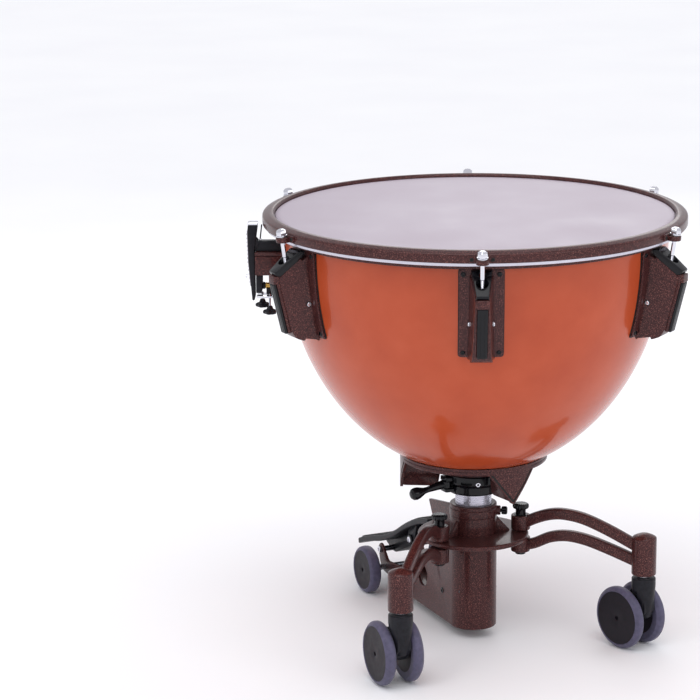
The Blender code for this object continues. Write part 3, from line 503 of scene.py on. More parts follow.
# ---- The kettle, its head and its rim ----
def make_kettle():
    first, rows = asin(0.02 / BOWL_RADIUS), 64
    tilts = [first + (pi / 2 - first) * row / (rows - 1) for row in range(rows)]
    outer = [(BOWL_RADIUS * sin(t), bowl_height(BOWL_RADIUS * sin(t))) for t in tilts]
    inside = BOWL_RADIUS - BOWL_WALL
    inner = [(inside * sin(t), bowl_height(inside * sin(t), -BOWL_WALL)) for t in tilts[::3]]
    bowl = lathe("bowl_shell", outer + inner[::-1], ORANGE, FINE)
    slot = [(0.27, 0.56), (0.335, 0.56), (0.335, 0.622), (0.27, 0.622)]
    slots = [moved(prism("slot", slot, -0.009, 0.009, "Y"), turn=bearing(f"rocker_{number}_turn"))
        for number in STATIONS]
    piece(cut(bowl, *slots), "kettle", "bowl")

    ring = filleted([(0.3175, 0.7154), (0.3205, 0.7395), (0.323, 0.7414), (0.3255, 0.7395),
        (0.3268, 0.7208), (0.336, 0.7208), (0.336, 0.7154)], 0.0012)
    piece(lathe("bearing_ring_fine", ring, BROWN, FINE), "kettle", "bearing_ring")

    film = [(0, 0.7418), (0.324, 0.7418), (0.3275, 0.7403), (0.3322, 0.7376), (0.3334, 0.7378),
        (0.3339, 0.7388), (0.3336, 0.7402), (0.3324, 0.7416), (0.33, 0.7425), (0.324, 0.7428),
        (0, 0.7428)]
    piece(lathe("drum_skin", film, FILM, FINE), "kettle", "drumhead")

    piece(disc("flesh_hoop_fine", 0.3412, 0.35, 0.7228, 0.733, SILVER, 0.0012, FINE), "rim", "flesh_hoop")

    rim = filleted([(0.3508, 0.7283), (0.355, 0.7283), (0.355, 0.7418), (0.3532, 0.744), (0.344, 0.7474),
        (0.3376, 0.748), (0.3346, 0.744), (0.3346, 0.7345), (0.3508, 0.7345)], 0.0018)
    piece(lathe("rim_ring", rim, BROWN, FINE), "rim", "counterhoop")

    centre = 0.3646
    plate = prism("plate", filleted([(-0.0215, 0.73), (0.0215, 0.73), (0.0215, 0.7408),
        (-0.0215, 0.7408)], 0.0035), 0, 0.003, "X", BROWN)
    for vertex in plate.data.vertices:
        vertex.co.x += sqrt(0.3545**2 - vertex.co.y**2)
    plate = bevelled(plate, 0.0006, 2)
    neck = prism("neck", filleted([(0.3555, -0.0085), (centre, -0.01), (centre, 0.01), (0.3555, 0.0085)],
        0.001), 0.7293, 0.7366, "Z", BROWN)
    cup = moved(lathe("cup", [(0, 0.7289), (0.0094, 0.7289), (0.0102, 0.7297), (0.0106, 0.7362),
        (0.0098, 0.737), (0, 0.737)], BROWN, 40), (centre, 0, 0))
    joined(plate, bevelled(neck, 0.0006, 2), cup)
    cut(plate, rod("bore", (centre - 0.0024, 0, 0.715), (centre + 0.0024, 0, 0.75), 0.0046))
    at_stations(plate, "claw_#", "rim")
    for side, mark in SIDES:
        screw = button_screw("screw", 0.0033, 0.0016, GASKET_AND_SHADE)
        at_stations(moved(screw, (0.3568, side * 0.0168, 0.7354), tilt=90), f"claw_screw_#_{mark}", "rim")


def make_rods():
    place = shifted((0.3676, 0, 0.7525)) @ turned(8.6, "Y")

    def head(angle, row):
        flat = cos(pi / 6) / cos((angle + pi / 6) % (pi / 3) - pi / 6)
        return (1.0, 0.97 + 0.03 * flat, flat, flat, flat, 1.0)[min(row, 5)]
    crown = lathe("head", [(0, -0.0012), (0.0044, -0.0018), (0.0085, -0.0044), (0.009, -0.0056),
        (0.009, -0.0108), (0.0072, -0.0112), (0.0072, -0.0116), (0.0088, -0.0119), (0.009, -0.0134),
        (0.0085, -0.0139), (0, -0.0139)], CHROME, 72, head)
    crown.data.transform(place @ turned(30))
    at_stations(crown, "rod_head_#", "tension_rod_#", "tension_rod_#")
    shank = [(0, -0.013), (0.0036, -0.013), (0.0036, -0.048)]
    for turn in range(24):
        at = 0.0488 + turn * 0.0011
        shank += [(0.0031, -at), (0.0026, -at - 0.00055)]
    shank += [(0.0029, -0.0755), (0.0029, -0.121), (0.0046, -0.1213), (0.0052, -0.122), (0.0052, -0.1328),
        (0.0046, -0.1335), (0, -0.1335)]
    stem = lathe("stem", shank, CHROME, 24)
    stem.data.transform(place)
    at_stations(stem, "rod_shank_#", "tension_rod_#")


# ---- The lug casings ----
def on_bowl(name, outline, low, high, look, rows=18):
    """A plate bent to the bowl: an outline in YZ, between two offsets from the bowl's surface."""
    cuts = [((0, 0, CASING_LOW + (0.7148 - CASING_LOW) * row / rows), (0, 0, 1))
        for row in range(1, rows)]
    cuts += [((0, step * 0.0091, 0), (0, 1, 0)) for step in range(-3, 4)]

    def bend(at):
        radius = bowl_radius(at.z, low + (high - low) * at.x)
        at.x = sqrt(radius * radius - at.y**2)
    return bent(name, outline, look, cuts, bend)


def make_casings():
    half, low, high = CASING_HALF_WIDTH, CASING_LOW, CASING_HIGH
    outline = filleted([(-half, low), (half, low), (half, high), (-half, high)], 0.006, 7)
    slot = [(0.27, 0.5735), (0.35, 0.5735), (0.35, 0.656), (0.27, 0.656)]
    gasket = cut(on_bowl("gasket", outline, 0.0003, 0.0016, GASKET_AND_SHADE),
        prism("slot", slot, -0.01, 0.01, "Y"))
    at_stations(gasket, "casing_gasket_#", "kettle")
    inset = 0.0012
    outline = filleted([(-half + inset, low + inset), (half - inset, low + inset),
        (half - inset, high - 0.0006), (-half + inset, high - 0.0006)], 0.0052, 7)
    plate = bevelled(on_bowl("plate", outline, 0.0017, 0.0052, BROWN), 0.0007, 2, 50)
    at_stations(cut(plate, prism("slot", slot, -0.01, 0.01, "Y")), "casing_plate_#", "kettle",
        "lug_casing_#")

    near, far = (0.325, 0.0195), (0.386, 0.0098)
    rows = 12
    levels = [0.7058 + (0.565 - 0.7058) * row / (rows - 1) for row in range(rows)]
    back = [(bowl_radius(level, 0.003), level) for level in levels]
    rib = tapered("rib", back + filleted([(0.333, 0.5645), (0.349, 0.5705), (0.3572, 0.585),
        (0.3772, 0.67), (0.3745, 0.6745), (0.3385, 0.7035)], 0.0045, 5), near, far, BROWN)
    bevelled(rib, 0.0022, 4, 50)
    cavity = tapered("cavity", [(0.27, 0.575), (0.34, 0.577), (0.3525, 0.588), (0.37, 0.668),
        (0.366, 0.674), (0.34, 0.698), (0.27, 0.7)], (0.325, 0.0145), (0.386, 0.0078))
    mouth = prism("mouth", filleted([(0.344, 0.675), (0.368, 0.66), (0.379, 0.72), (0.35, 0.74)], 0.002),
        -0.0082, 0.0082, "Y")
    across, level = ROCKER_PIN
    pin_hole = rod("pin_hole", (across, -0.03, level), (across, 0.03, level), 0.0048)
    at_stations(cut(rib, cavity, mouth, pin_hole), "casing_rib_#", "kettle")

    lid = tapered("lid", filleted([(0.336, 0.705), (0.3745, 0.6748), (0.382, 0.6768), (0.3845, 0.6825),
        (0.3425, 0.7146), (0.333, 0.7146)], 0.0022), (0.325, 0.0185), (0.386, 0.0098), GLOSS_BLACK)
    bevelled(lid, 0.0014, 3, 40)
    angles = [2 * pi * step / 32 for step in range(32)]
    mouths = ((0.353, 0.683, -0.02, 0.0062), (0.36, 0.6945, 0, 0.0072), (0.3615, 0.6975, 0.001, 0.0098),
        (0.364, 0.7, 0.012, 0.015))
    funnel = loft("funnel", [[(x + 0.62 * d + wide * 0.8 * cos(a), wide * sin(a),
        z + 0.78 * d - wide * 0.6 * cos(a)) for a in angles] for x, z, d, wide in mouths])
    at_stations(cut(lid, funnel), "casing_lid_#", "kettle")

    nose = eased("nose", [(-0.0098, 0.662), (0.0098, 0.662), (0.0102, 0.6762), (-0.0102, 0.6762)], 0.003,
        0.37, 0.3856, "X", BROWN, 0.0018, 4, 40)
    at_stations(nose, "casing_nose_#", "kettle")
    top, foot = Vector((0.378, 0.664)), Vector((0.357, 0.5795))
    out = Vector((0.0076, -0.0018))

    def band(near, far):
        """A strip down the casing's face, between two multiples of the step out."""
        return [tuple(top + out * near), tuple(top + out * far), tuple(foot + out * far),
            tuple(foot + out * near)]

    insert = eased("insert", band(-0.3, 1), 0.003, -0.008, 0.008, "Y", GLOSS_BLACK, 0.0014, 3, 40)
    grooves = [prism("groove", band(0.88, 1.3), side * 0.0032 - 0.0006, side * 0.0032 + 0.0006, "Y")
        for side, mark in SIDES]
    at_stations(cut(insert, *grooves), "casing_insert_#", "kettle")
    for side, mark in SIDES:
        rail = eased("rail", band(-0.3, 0.42), 0.002, *sorted((side * 0.0083, side * 0.011)), "Y", BROWN,
            0.0009, 3, 40)
        at_stations(rail, f"casing_rail_#_{mark}", "kettle")
        across, level = ROCKER_PIN
        cap = rod("cap", (across, side * 0.018, level), (across, side * 0.0212, level), 0.0037, CHROME,
            24, 0.0014)
        at_stations(cap, f"rocker_pin_#_{mark}", "rocker_#")
        for level, spot in ((0.5765, "low"), (0.706, "high")):
            radius = bowl_radius(level, 0.005)
            screw = moved(button_screw("screw", 0.004, 0.002, GLOSS_BLACK),
                (sqrt(radius**2 - 0.029**2), side * 0.0285, level), turn=side * 5, tilt=90)
            at_stations(screw, f"casing_screw_#_{spot}_{mark}", "kettle")


# ---- The tuning gauge ----
def make_gauge():
    low, high = (Vector(corner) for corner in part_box("gauge_pointer"))
    middle = (low + high) / 2
    turn = degrees(atan2(middle.y - AXIS.y, middle.x - AXIS.x))
    place = about_axis(turn) @ shifted((0, 0, -GAUGE_DROP))

    def add(thing, *nodes, body="kettle"):
        return piece(thing, body, *nodes, place=place)

    def block(name, outline, low, high, look, *nodes, width=0.001, corner=0.0015, body="kettle"):
        add(eased(name, outline, corner, low, high, "Y", look, width, 3, 40), *nodes, body=body)

    half = 0.0115
    block("gauge_board", [(0.3682, 0.605), (0.37, 0.5995), (0.3735, 0.5995), (0.379, 0.665),
        (0.3801, 0.7205), (0.3796, 0.7282), (0.364, 0.7282), (0.3636, 0.724), (0.3688, 0.685)], -half,
        half, BLACK, "gauge_scale", width=0.0016, corner=0.0022)
    block("gauge_board_cap", [(0.3628, 0.7286), (0.38, 0.7286), (0.3798, 0.7318), (0.3632, 0.7318)],
        -half + 0.001, half - 0.001, CHROME, width=0.0008, corner=0.0008)
    block("gauge_face", [(0.3806, 0.718), (0.3812, 0.718), (0.38, 0.666), (0.3765, 0.624),
        (0.3759, 0.624), (0.3794, 0.666)], -0.009, 0.009, FILM, width=0.0001, corner=0.0002)
    for index in range(13):
        level = 0.63 + index * 0.0068
        out = 0.3759 + (level - 0.624) * 0.0883 if level < 0.666 else 0.3796 + (level - 0.666) * 0.0212
        long = 0.007 if index % 3 == 0 else 0.004
        block(f"gauge_mark_{index + 1}", [(out + 0.001, level), (out + 0.0016, level),
            (out + 0.0016, level + 0.0009), (out + 0.001, level + 0.0009)], 0.0082 - long, 0.0082, GASKET_AND_SHADE,
            width=0.0001, corner=0.0001)
    level = middle.z + GAUGE_DROP
    block("gauge_needle", [(0.382, level - 0.0012), (0.3846, level - 0.0022), (0.3846, level + 0.0022),
        (0.382, level + 0.0012)], -0.0088, 0.006, CHROME, "gauge_pointer", width=0.0005, corner=0.0006,
        body="gauge_pointer")

    add(rod("gauge_post", (0.36, 0, 0.699), (0.3566, 0, 0.7279), 0.0011, BLACK, 16))
    add(rod("gauge_post_stud", (0.359, -0.004, 0.7028), (0.359, 0.004, 0.7028), 0.0015, CHROME, 16))
    for side, mark in SIDES:
        block(f"gauge_web_{mark}", [(0.36, 0.698), (0.3668, 0.686), (0.37, 0.7), (0.3668, 0.706)],
            side * 0.008 - 0.0015, side * 0.008 + 0.0015, BLACK)
    block("gauge_arm", [(0.321, 0.6832), (0.369, 0.6832), (0.369, 0.69), (0.364, 0.7009),
        (0.3225, 0.7009)], -0.008, 0.008, BLACK)
    block("gauge_block", [(0.3185, 0.6432), (0.3682, 0.6432), (0.3682, 0.676), (0.3176, 0.676)], -0.0155,
        0.0155, BROWN, "gauge_bracket", width=0.0012)
    block("gauge_block_lid", [(0.3176, 0.6768), (0.3684, 0.6768), (0.368, 0.6828), (0.3182, 0.6828)],
        -0.0159, 0.0159, BROWN, width=0.0012)
    block("gauge_hanger", [(0.356, 0.6428), (0.356, 0.618), (0.358, 0.612), (0.3668, 0.612),
        (0.3668, 0.6428)], -0.011, 0.011, BLACK)
    barrel = 0.6232
    for name, start, end, radius, look in (("gauge_barrel", 0.3382, 0.3515, 0.005, BRASS), ("gauge_nut",
            0.332, 0.3378, 0.0058, CHROME), ("gauge_barrel_collar", 0.3518, 0.3562, 0.006, BLACK)):
        add(rod(name, (start, 0, barrel), (end, 0, barrel), radius, look, 32, 0.0008))
    for index in range(3):
        at = 0.34 + index * 0.0045
        add(rod(f"gauge_barrel_rib_{index + 1}", (at, 0, barrel), (at + 0.0022, 0, barrel), 0.0055, BRASS,
            32))
    block("gauge_bridge", [(0.3405, 0.609), (0.35, 0.609), (0.35, 0.6192), (0.3405, 0.6192)], -0.006,
        0.006, BLACK)
    block("gauge_plate", [(0.3345, 0.6046), (0.366, 0.6046), (0.366, 0.6078), (0.3345, 0.6078)], -0.015,
        0.016, CHROME, width=0.0008)

    def star(angle, row):
        return 1 + 0.1 * cos(5 * angle) if 1 <= row <= 4 else 1.0
    knob = [(0, -0.0046), (0.0075, -0.0044), (0.0107, -0.003), (0.0112, 0.0006), (0.0095, 0.0024),
        (0.006, 0.004), (0.0046, 0.0075), (0.004, 0.0094), (0.0024, 0.0098), (0, 0.0098)]
    for name, (x, y, z) in {"outer": (0.3573, -0.008, 0.5887), "inner": (0.344, 0.01, 0.5805)}.items():
        body = f"gauge_knob_{name}"
        add(moved(lathe(f"tuning_knob_{name}", knob, BLACK, 60, star), (x, y, z)), body, body=body)
        add(rod(f"tuning_stem_{name}", (x, y, z + 0.009), (x, y, 0.611), 0.0018, STEEL, 16), body=body)


# ---- The cradle, the clamp and the pillar ----
def wrapped(name, outline, inner, outer, look, columns=24):
    """A plate bent round the drum's axis: an outline of (length round, height), between two radii."""
    wide = max(abs(u) for u, v in outline)
    cuts = [((0, 2 * wide * step / columns, 0), (0, 1, 0))
        for step in range(1 - columns // 2, columns // 2)]

    def bend(at):
        radius, angle = inner + (outer - inner) * at.x, at.y / CRADLE_RADIUS
        at.x, at.y = radius * cos(angle), radius * sin(angle)
    return bent(name, outline, look, cuts, bend)


def make_cradle():
    radii = [0.021 + (0.1248 - 0.021) * index / 24 for index in range(25)]
    top = [(radius, bowl_height(radius) - 0.001) for radius in radii]
    face, groove = CRADLE_RADIUS, 0.1245
    side = [(face, 0.3294), (face, 0.3254), (groove, 0.3252), (groove, 0.3243), (face, 0.3241),
        (face, 0.3196), (0.124, 0.318), (0.119, 0.3168), (0.09, 0.3065), (0.052, 0.295), (0.021, 0.2942)]
    piece(lathe("cradle_ring", top + side, BROWN, FINE), "kettle", "bowl_cradle")
    turn = 96.0
    edge = filleted([(-0.047, 0.3212), (-0.0455, 0.3195), (-0.0035, 0.2664), (0, 0.2648),
        (0.0035, 0.2664), (0.0455, 0.3195), (0.047, 0.3212)], 0.0015, 4)
    panel = [(-0.042, 0.3262), (-0.0396, 0.3222), (-0.0014, 0.273), (0.0014, 0.273), (0.0396, 0.3222),
        (0.042, 0.3262)]
    rim_line = [(0.047, 0.324), (0.0448, 0.3236), (0.0428, 0.3204), (0.0018, 0.2686), (-0.0018, 0.2686),
        (-0.0428, 0.3204), (-0.0448, 0.3236), (-0.047, 0.324)]
    # The thin black sheet at the bottom of each foot's groove is painted shade: it makes the groove
    # between the border and the panel read dark.
    groove_shade = filleted([(-0.045, 0.325), (-0.0444, 0.319), (-0.003, 0.2672), (0.003, 0.2672),
        (0.0444, 0.319), (0.045, 0.325)], 0.0015, 4)
    for index, mark in enumerate("abc"):
        place = about_axis(turn + 120 * index)
        for name, outline, inner, outer, look in (("cradle_foot", edge, 0.1205, 0.1238, BROWN),
                ("cradle_foot_groove_shade", groove_shade, 0.1236, 0.1247, GASKET_AND_SHADE), ("cradle_foot_panel", panel, 0.1245,
                0.1257, BROWN), ("cradle_foot_border", edge + rim_line, 0.1236, face, BROWN)):
            piece(wrapped(f"{name}_{mark}", outline, inner, outer, look), "kettle", place=place)
        web = eased(f"cradle_web_{mark}", [(0.056, 0.296), (0.06, 0.272), (0.0665, 0.2665),
            (0.1215, 0.268), (0.1215, 0.318)], 0.004, -0.003, 0.003, "Y", BROWN, 0.0008, angle=30)
        piece(web, "kettle", place=place)


def make_clamp():
    turn = bearing("clamp_swing")
    collar = lathe("collar", filleted([(0.0315, 0.2585), (0.0425, 0.2585), (0.0442, 0.2612),
        (0.0446, 0.2735), (0.05, 0.2785), (0.05, 0.2928), (0.0315, 0.2928)], 0.0014), GLOSS_BLACK, 96)
    ear = [(0.036, -0.0125), (0.06, -0.011), (0.06, 0.011), (0.036, 0.0125)]
    ears = [moved(eased("ear", ear, 0.004, low, high, "Z", GLOSS_BLACK, 0.0009, angle=30), turn=turn)
        for low, high in ((0.264, 0.27), (0.283, 0.29))]
    joined(collar, *ears)
    room = moved(rod("room", (0.054, 0, 0.2695), (0.054, 0, 0.2835), 0.0108, steps=32), turn=turn)
    slot = moved(prism("slot", filleted([(-0.01, 0.2798), (0.01, 0.2798), (0.01, 0.2848),
        (-0.01, 0.2848)], 0.0024), 0.044, 0.056, "X"), turn=50)
    split = moved(prism("split", [(-0.0009, 0.25), (0.0009, 0.25), (0.0009, 0.3), (-0.0009, 0.3)], 0.028,
        0.06, "X"), turn=turn + 16)
    piece(cut(collar, room, slot, split), "kettle", "clamp_collar")

    level = CLAMP_SCREW_HEIGHT
    seat = rod("clamp_screw_seat", (0.047, 0, level), (0.0507, 0, level), 0.004, CHROME, 32)
    socket = rod("socket", (0.0485, 0, level), (0.053, 0, level), 0.0022, steps=6)
    piece(cut(moved(seat, turn=CLAMP_SCREW_TURN), moved(socket, turn=CLAMP_SCREW_TURN)), "kettle")

    lever = lathe("arm", [(0, 0.003), (0.0074, 0.0035), (0.007, 0.014), (0.0058, 0.026), (0.005, 0.037),
        (0.0056, 0.043), (0.0078, 0.049), (0.01, 0.0545), (0.0108, 0.06), (0.0096, 0.0655),
        (0.006, 0.069), (0.002, 0.07), (0, 0.07)], GLOSS_BLACK, 32)
    lever.data.transform(shifted((0, 0, 0.2775)) @ turned(99.8, "Y"))
    hub = disc("clamp_lever_fine", CORE, 0.0096, 0.2706, 0.2824, GLOSS_BLACK, 0.0012, 40)
    place = shifted(joint_at("clamp_swing") * FLAT) @ turned(turn)
    piece(joined(hub, lever), "clamp_lever", "clamp_lever", place=place)


def make_pillar():
    crest, root = 0.0311, 0.0301
    profile = [(0.012, 0.112), (0.012, 0.2928), (0.0305, 0.2928), (crest, 0.2922), (crest, 0.265)]
    for rib in range(19):
        at = 0.2646 - rib * 0.0036
        profile += [(crest, at), (root, at - 0.0007), (root, at - 0.0015), (crest, at - 0.0022)]
    profile += [(crest, 0.1126), (0.0305, 0.112)]
    piece(lathe("pillar_ribbed", profile, SILVER, 96), "pillar", "pillar")


# ---- The base, the pedal and the wheels' axle ----
def make_base():
    low = FLOOR_OF_BASE
    column = disc("base_fine", CORE, COLUMN, low, 0.237, BROWN, 0.0022, 96)
    collar = lathe("collar", filleted([(0.03, 0.214), (0.0412, 0.2155), (0.0416, 0.23), (0.03, 0.233)],
        0.002), BROWN, 96)
    flange = disc("flange", CORE, 0.095, 0.1765, 0.185, BROWN, 0.004, 144, 7)
    side = filleted([(0.0, low), (-0.165, low), (-0.29, 0.032), (-0.303, 0.043), (-0.3105, 0.066),
        (-0.3105, 0.075), (-0.304, 0.0812), (-0.295, 0.0812), (-0.288, 0.074), (-0.27, 0.056),
        (-0.2, 0.064), (-0.155, 0.09), (-0.11, 0.117), (-0.076, 0.123), (-0.076, 0.1785), (0.0, 0.1785)],
        0.006, 5)
    panels = bevelled(prism("panels", side, -PANEL, PANEL, "X", BROWN), 0.0024, 3, 50)
    cheek = eased("cheek", [(-0.01, 0.183), (-0.0885, 0.183), (-0.1085, 0.2175), (-0.03, 0.231),
        (-0.01, 0.231)], 0.003, -0.034, 0.034, "X", BROWN, 0.0014)
    outline = [(0.03, 0.183), (0.0625, 0.183), (0.0625, 0.1866), (0.036, 0.216), (0.03, 0.216)]
    gussets = [moved(eased("gusset", outline, 0.0015, -0.003, 0.003, "Y", BROWN, 0.001),
        turn=bearing(f"leg_{leg}_fold")) for leg in HANDS]
    screw_turn, screw_height = bearing("height_screw_turn"), JOINTS["height_screw_turn"]["pos_m"][2]
    boss = rod("boss", polar(0.03, screw_turn, screw_height), polar(0.047, screw_turn, screw_height),
        0.0082, BROWN, 32, 0.0012)
    joined(column, moved(collar, turn=0.7), moved(flange, turn=0.4), panels, cheek, *gussets, boss)

    inside, floor = PANEL - WALL, low + 0.006
    well = prism("well", [(0.0031, floor - 0.0007), (-0.168, floor - 0.0007), (-0.33, 0.043),
        (-0.33, 0.11), (-0.16, 0.16), (-0.12, 0.17), (0.0031, 0.17)], -inside, inside, "X")
    bottom = rod("bottom", (0, 0, floor), (0, 0, 0.1712), COLUMN - WALL, steps=96)
    slot = prism("slot", [(-0.034, 0.16), (-0.13, 0.16), (-0.13, 0.24), (-0.034, 0.24)], -0.029, 0.029,
        "X")
    tube = rod("tube", (0, 0, 0.106), (0, 0, 0.247), 0.0319, steps=96)
    cutters = [well, moved(bottom, turn=1.3), slot, moved(tube, turn=0.9)]
    axle, pedal, lever = (joint_at(name) - AXIS for name in ("transport_wheel_left_roll", "pedal_rock",
        "lever_rock"))
    for at in (axle, pedal):
        cutters.append(cross_bar("hole", 0.1, at.yz, SHAFT + GAP))
    cutters.append(cross_bar("hole", 0.0362, lever.yz, 0.0044))
    cutters.append(cross_bar("window", 0.1, (-0.12, 0.075), 0.0195, steps=64))
    for leg in HANDS:
        at = joint_at(f"leg_{leg}_fold") - AXIS
        cutters.append(rod("bolt", (at.x, at.y, 0.16), (at.x, at.y, 0.2), 0.0063))
    cutters.append(rod("screw", polar(0.02, screw_turn, screw_height),
        polar(0.06, screw_turn, screw_height), 0.0034))
    piece(cut(column, *cutters), "base", "base_housing")

    for name, side_of in (("left", 1), ("right", -1)):
        plug = button_screw(f"side_plug_{name}", 0.0056, 0.0014, GLOSS_BLACK)
        piece(moved(plug, (side_of * (PANEL - 0.0002), -0.0405, 0.0705), tilt=90 * side_of), "base")
        eye = button_screw(f"pedal_pin_end_{name}", 0.0066, 0.0022, CHROME)
        piece(moved(eye, (side_of * (PANEL + 0.0022), pedal.y, pedal.z), tilt=90 * side_of), "pedal")
    piece(cross_bar("wheel_axle_fine", 0.08, axle.yz, SHAFT, STEEL, 32), "base", "wheel_axle")

    def knurl(angle, row):
        return 1 + 0.05 * cos(14 * angle) if row in (4, 5, 6) else 1.0
    screw = lathe("height_screw_fine", [(0, 0.0317), (0.003, 0.0317), (0.003, 0.0484), (0.0056, 0.0486),
        (0.0066, 0.0494), (0.0068, 0.054), (0.0066, 0.0572), (0.005, 0.0586), (0, 0.059)], GLOSS_BLACK,
        84, knurl)
    screw.data.transform(turned(screw_turn) @ shifted((0, 0, screw_height)) @ turned(90, "Y"))
    piece(screw, "height_screw", "height_screw")


def make_pedal():
    path = spline([(-0.402, 0.062), (-0.38, 0.0712), (-0.345, 0.0825), (-0.3, 0.096), (-0.249, 0.118),
        (-0.204, 0.1438), (-0.159, 0.165), (-0.13, 0.1755), (-0.1005, 0.1825)], 60)
    top = [tuple(point) for point in path]
    under = [(y + 0.002, z - 0.01) for y, z in top]
    plate = prism("pedal_plate", top + under[::-1], -0.04, 0.04, "X", BLACK)
    piece(bevelled(plate, 0.0022, 3, 50), "pedal", "pedal")
    tread = [(y, z + 0.0001) for y, z in top[3:-3]]
    ridged = []
    for y, z in tread:
        ridged += [(y - 0.0012, z + 0.0016), (y + 0.0012, z + 0.0016), (y + 0.002, z + 0.0008)]
    pad = prism("pedal_tread", ridged + [(y, z - 0.0006) for y, z in tread][::-1], -0.0345, 0.0345, "X",
        TREAD)
    piece(pad, "pedal")
    pedal = joint_at("pedal_rock") - AXIS
    web = [(-0.335, 0.074), (pedal.y - 0.008, pedal.z - 0.007), (pedal.y + 0.008, pedal.z - 0.007),
        (-0.205, 0.105), (-0.18, 0.108), (-0.135, 0.15), (-0.14, 0.168), (-0.18, 0.15), (-0.24, 0.118),
        (-0.3, 0.091), (-0.335, 0.08)]
    piece(eased("pedal_web", web, 0.004, -0.014, 0.014, "X", BLACK, 0.0012), "pedal")
    piece(cross_bar("pedal_pin", 0.042, pedal.yz, SHAFT, STEEL, 32), "pedal")
    piece(cross_bar("pedal_boss", 0.034, PEDAL_BOSS, 0.0092, GLOSS_BLACK, 40, 0.0012), "pedal")
    for side, mark in SIDES:
        bolt = button_screw(f"pedal_boss_bolt_{mark}", 0.006, 0.002, CHROME)
        piece(moved(bolt, (side * 0.0339, *PEDAL_BOSS), tilt=90 * side), "pedal")
        lug = [(-0.205, 0.14), (-0.1985, 0.111), (-0.18, 0.111), (-0.165, 0.156)]
        piece(eased(f"pedal_boss_lug_{mark}", lug, 0.006, *sorted((side * 0.022, side * 0.03)), "X",
            BLACK, 0.0012), "pedal")
        y, z = CROSS_PIN
        arm = [(y - 0.006, z - 0.007), (y + 0.006, z - 0.007), (y + 0.01, 0.17), (y - 0.014, 0.165)]
        piece(eased(f"pedal_arm_{mark}", arm, 0.003, *sorted((side * 0.01, side * 0.0145)), "X", STEEL,
            0.0006), "pedal")
    piece(cross_bar("pedal_cross_pin", 0.014, CROSS_PIN, 0.003, STEEL), "pedal")


# ---- Legs, casters and transport wheels ----
def make_legs():
    pivot, foot = (joint_at(name) * FLAT for name in ("leg_left_fold", "caster_left_swivel"))
    reach = (foot - pivot).length
    boss = disc("leg", CORE, 0.0165, 0.1862, 0.212, BROWN, 0.0022, 64)
    lower_boss = disc("lower_boss", CORE, 0.0165, 0.147, 0.1728, BROWN, 0.0022, 64)
    upper = sweep("upper", [(0.004, 0.1965), (0.03, 0.21), (0.055, 0.219), (0.08, 0.222), (0.115, 0.218),
        (0.16, 0.203), (reach - 0.01, 0.18)], BAR_HALF_WIDTH, (0.01, 0.0096), BROWN, 0.0058)
    lower = sweep("lower", [(0.004, 0.158), (0.026, 0.164), (0.055, 0.1782), (0.085, 0.1842),
        (0.12, 0.1812), (0.16, 0.1708), (reach - 0.01, 0.154)], BAR_HALF_WIDTH, (0.0092, 0.01), BROWN,
        0.0058)
    sleeve = lathe("sleeve", [(0, 0.1338), (0.0195, 0.1338), (0.0206, 0.1345), (SLEEVE_RADIUS, 0.1358),
        (SLEEVE_RADIUS, 0.1966), (0.0206, 0.1982), (0.0196, 0.1995), (0.015, 0.202), (0.009, 0.2044),
        (0.004, 0.206), (0, 0.2064)], BROWN, 64)
    moved(sleeve, (reach, 0, 0))
    joined(boss, lower_boss, upper, lower, sleeve)
    bolt = rod("bolt_hole", (0, 0, 0.14), (0, 0, 0.22), 0.0063)
    stem = rod("stem_hole", (reach, 0, 0.12), (reach, 0, 0.196), 0.0086, steps=32)
    cut(boss, bolt, stem)

    def knurl(angle, row):
        return 1 + 0.03 * cos(18 * angle) if 11 <= row <= 14 else 1.0
    knob = lathe("knob", [(0, 0.142), (0.0084, 0.142), (0.009, 0.1426), (0.009, 0.1462), (0.0055, 0.1465),
        (0.0055, 0.2126), (0.0086, 0.2126), (0.009, 0.2132), (0.0088, 0.2205), (0.0094, 0.2222),
        (0.0122, 0.2234), (0.0132, 0.2244), (0.0136, 0.2262), (0.0136, 0.229), (0.013, 0.2306),
        (0.0112, 0.2318), (0.006, 0.2326), (0, 0.2328)], GLOSS_BLACK, 108, knurl)
    copies(boss, HINGES, "leg_arm_#", "leg_#", "leg_#")
    copies(knob, HINGES, "leg_knob_fine_#", "leg_knob_#", "leg_knob_#")
    washer = disc("washer", 0.0064, 0.0118, 0.2121, 0.213, GLOSS_BLACK, 0.0003, 40)
    copies(washer, HINGES, "leg_washer_#", "leg_#")


def make_wheel(name, radius, inner, outer, rim):
    """A tyre and its hub on the Z axis, from inner to outer."""
    edge, middle = 0.09 * radius, (inner + outer) / 2
    tyre = lathe(f"{name}_tyre", filleted([(rim - 0.01, inner + 0.0006), (rim, inner + 0.0004),
        (radius - edge * 1.3, inner), (radius - 0.0008, inner + edge), (radius, middle - 0.002),
        (radius, middle + 0.002), (radius - 0.0008, outer - edge), (radius - edge * 1.3, outer),
        (rim + 0.0008, outer), (rim, outer - 0.0014), (rim - 0.01, outer - 0.0016)], 0.0016, 4), RUBBER,
        120)
    hub = lathe(f"{name}_hub", [(0, outer - 0.0036), (0.0034, outer - 0.0036), (0.0036, outer - 0.0016),
        (0.0058, outer - 0.001), (rim * 0.45, outer - 0.0008), (rim * 0.86, outer - 0.0013),
        (rim * 0.93, outer - 0.001), (rim - 0.0006, outer - 0.0011), (rim - 0.0004, outer - 0.003),
        (rim - 0.0095, outer - 0.0034), (rim - 0.0095, inner + 0.003), (rim - 0.001, inner + 0.0026),
        (rim - 0.001, inner + 0.001), (0.0066, inner + 0.0008), (0.0064, outer - 0.005),
        (0, outer - 0.005)], HUB, 120)
    return tyre, hub


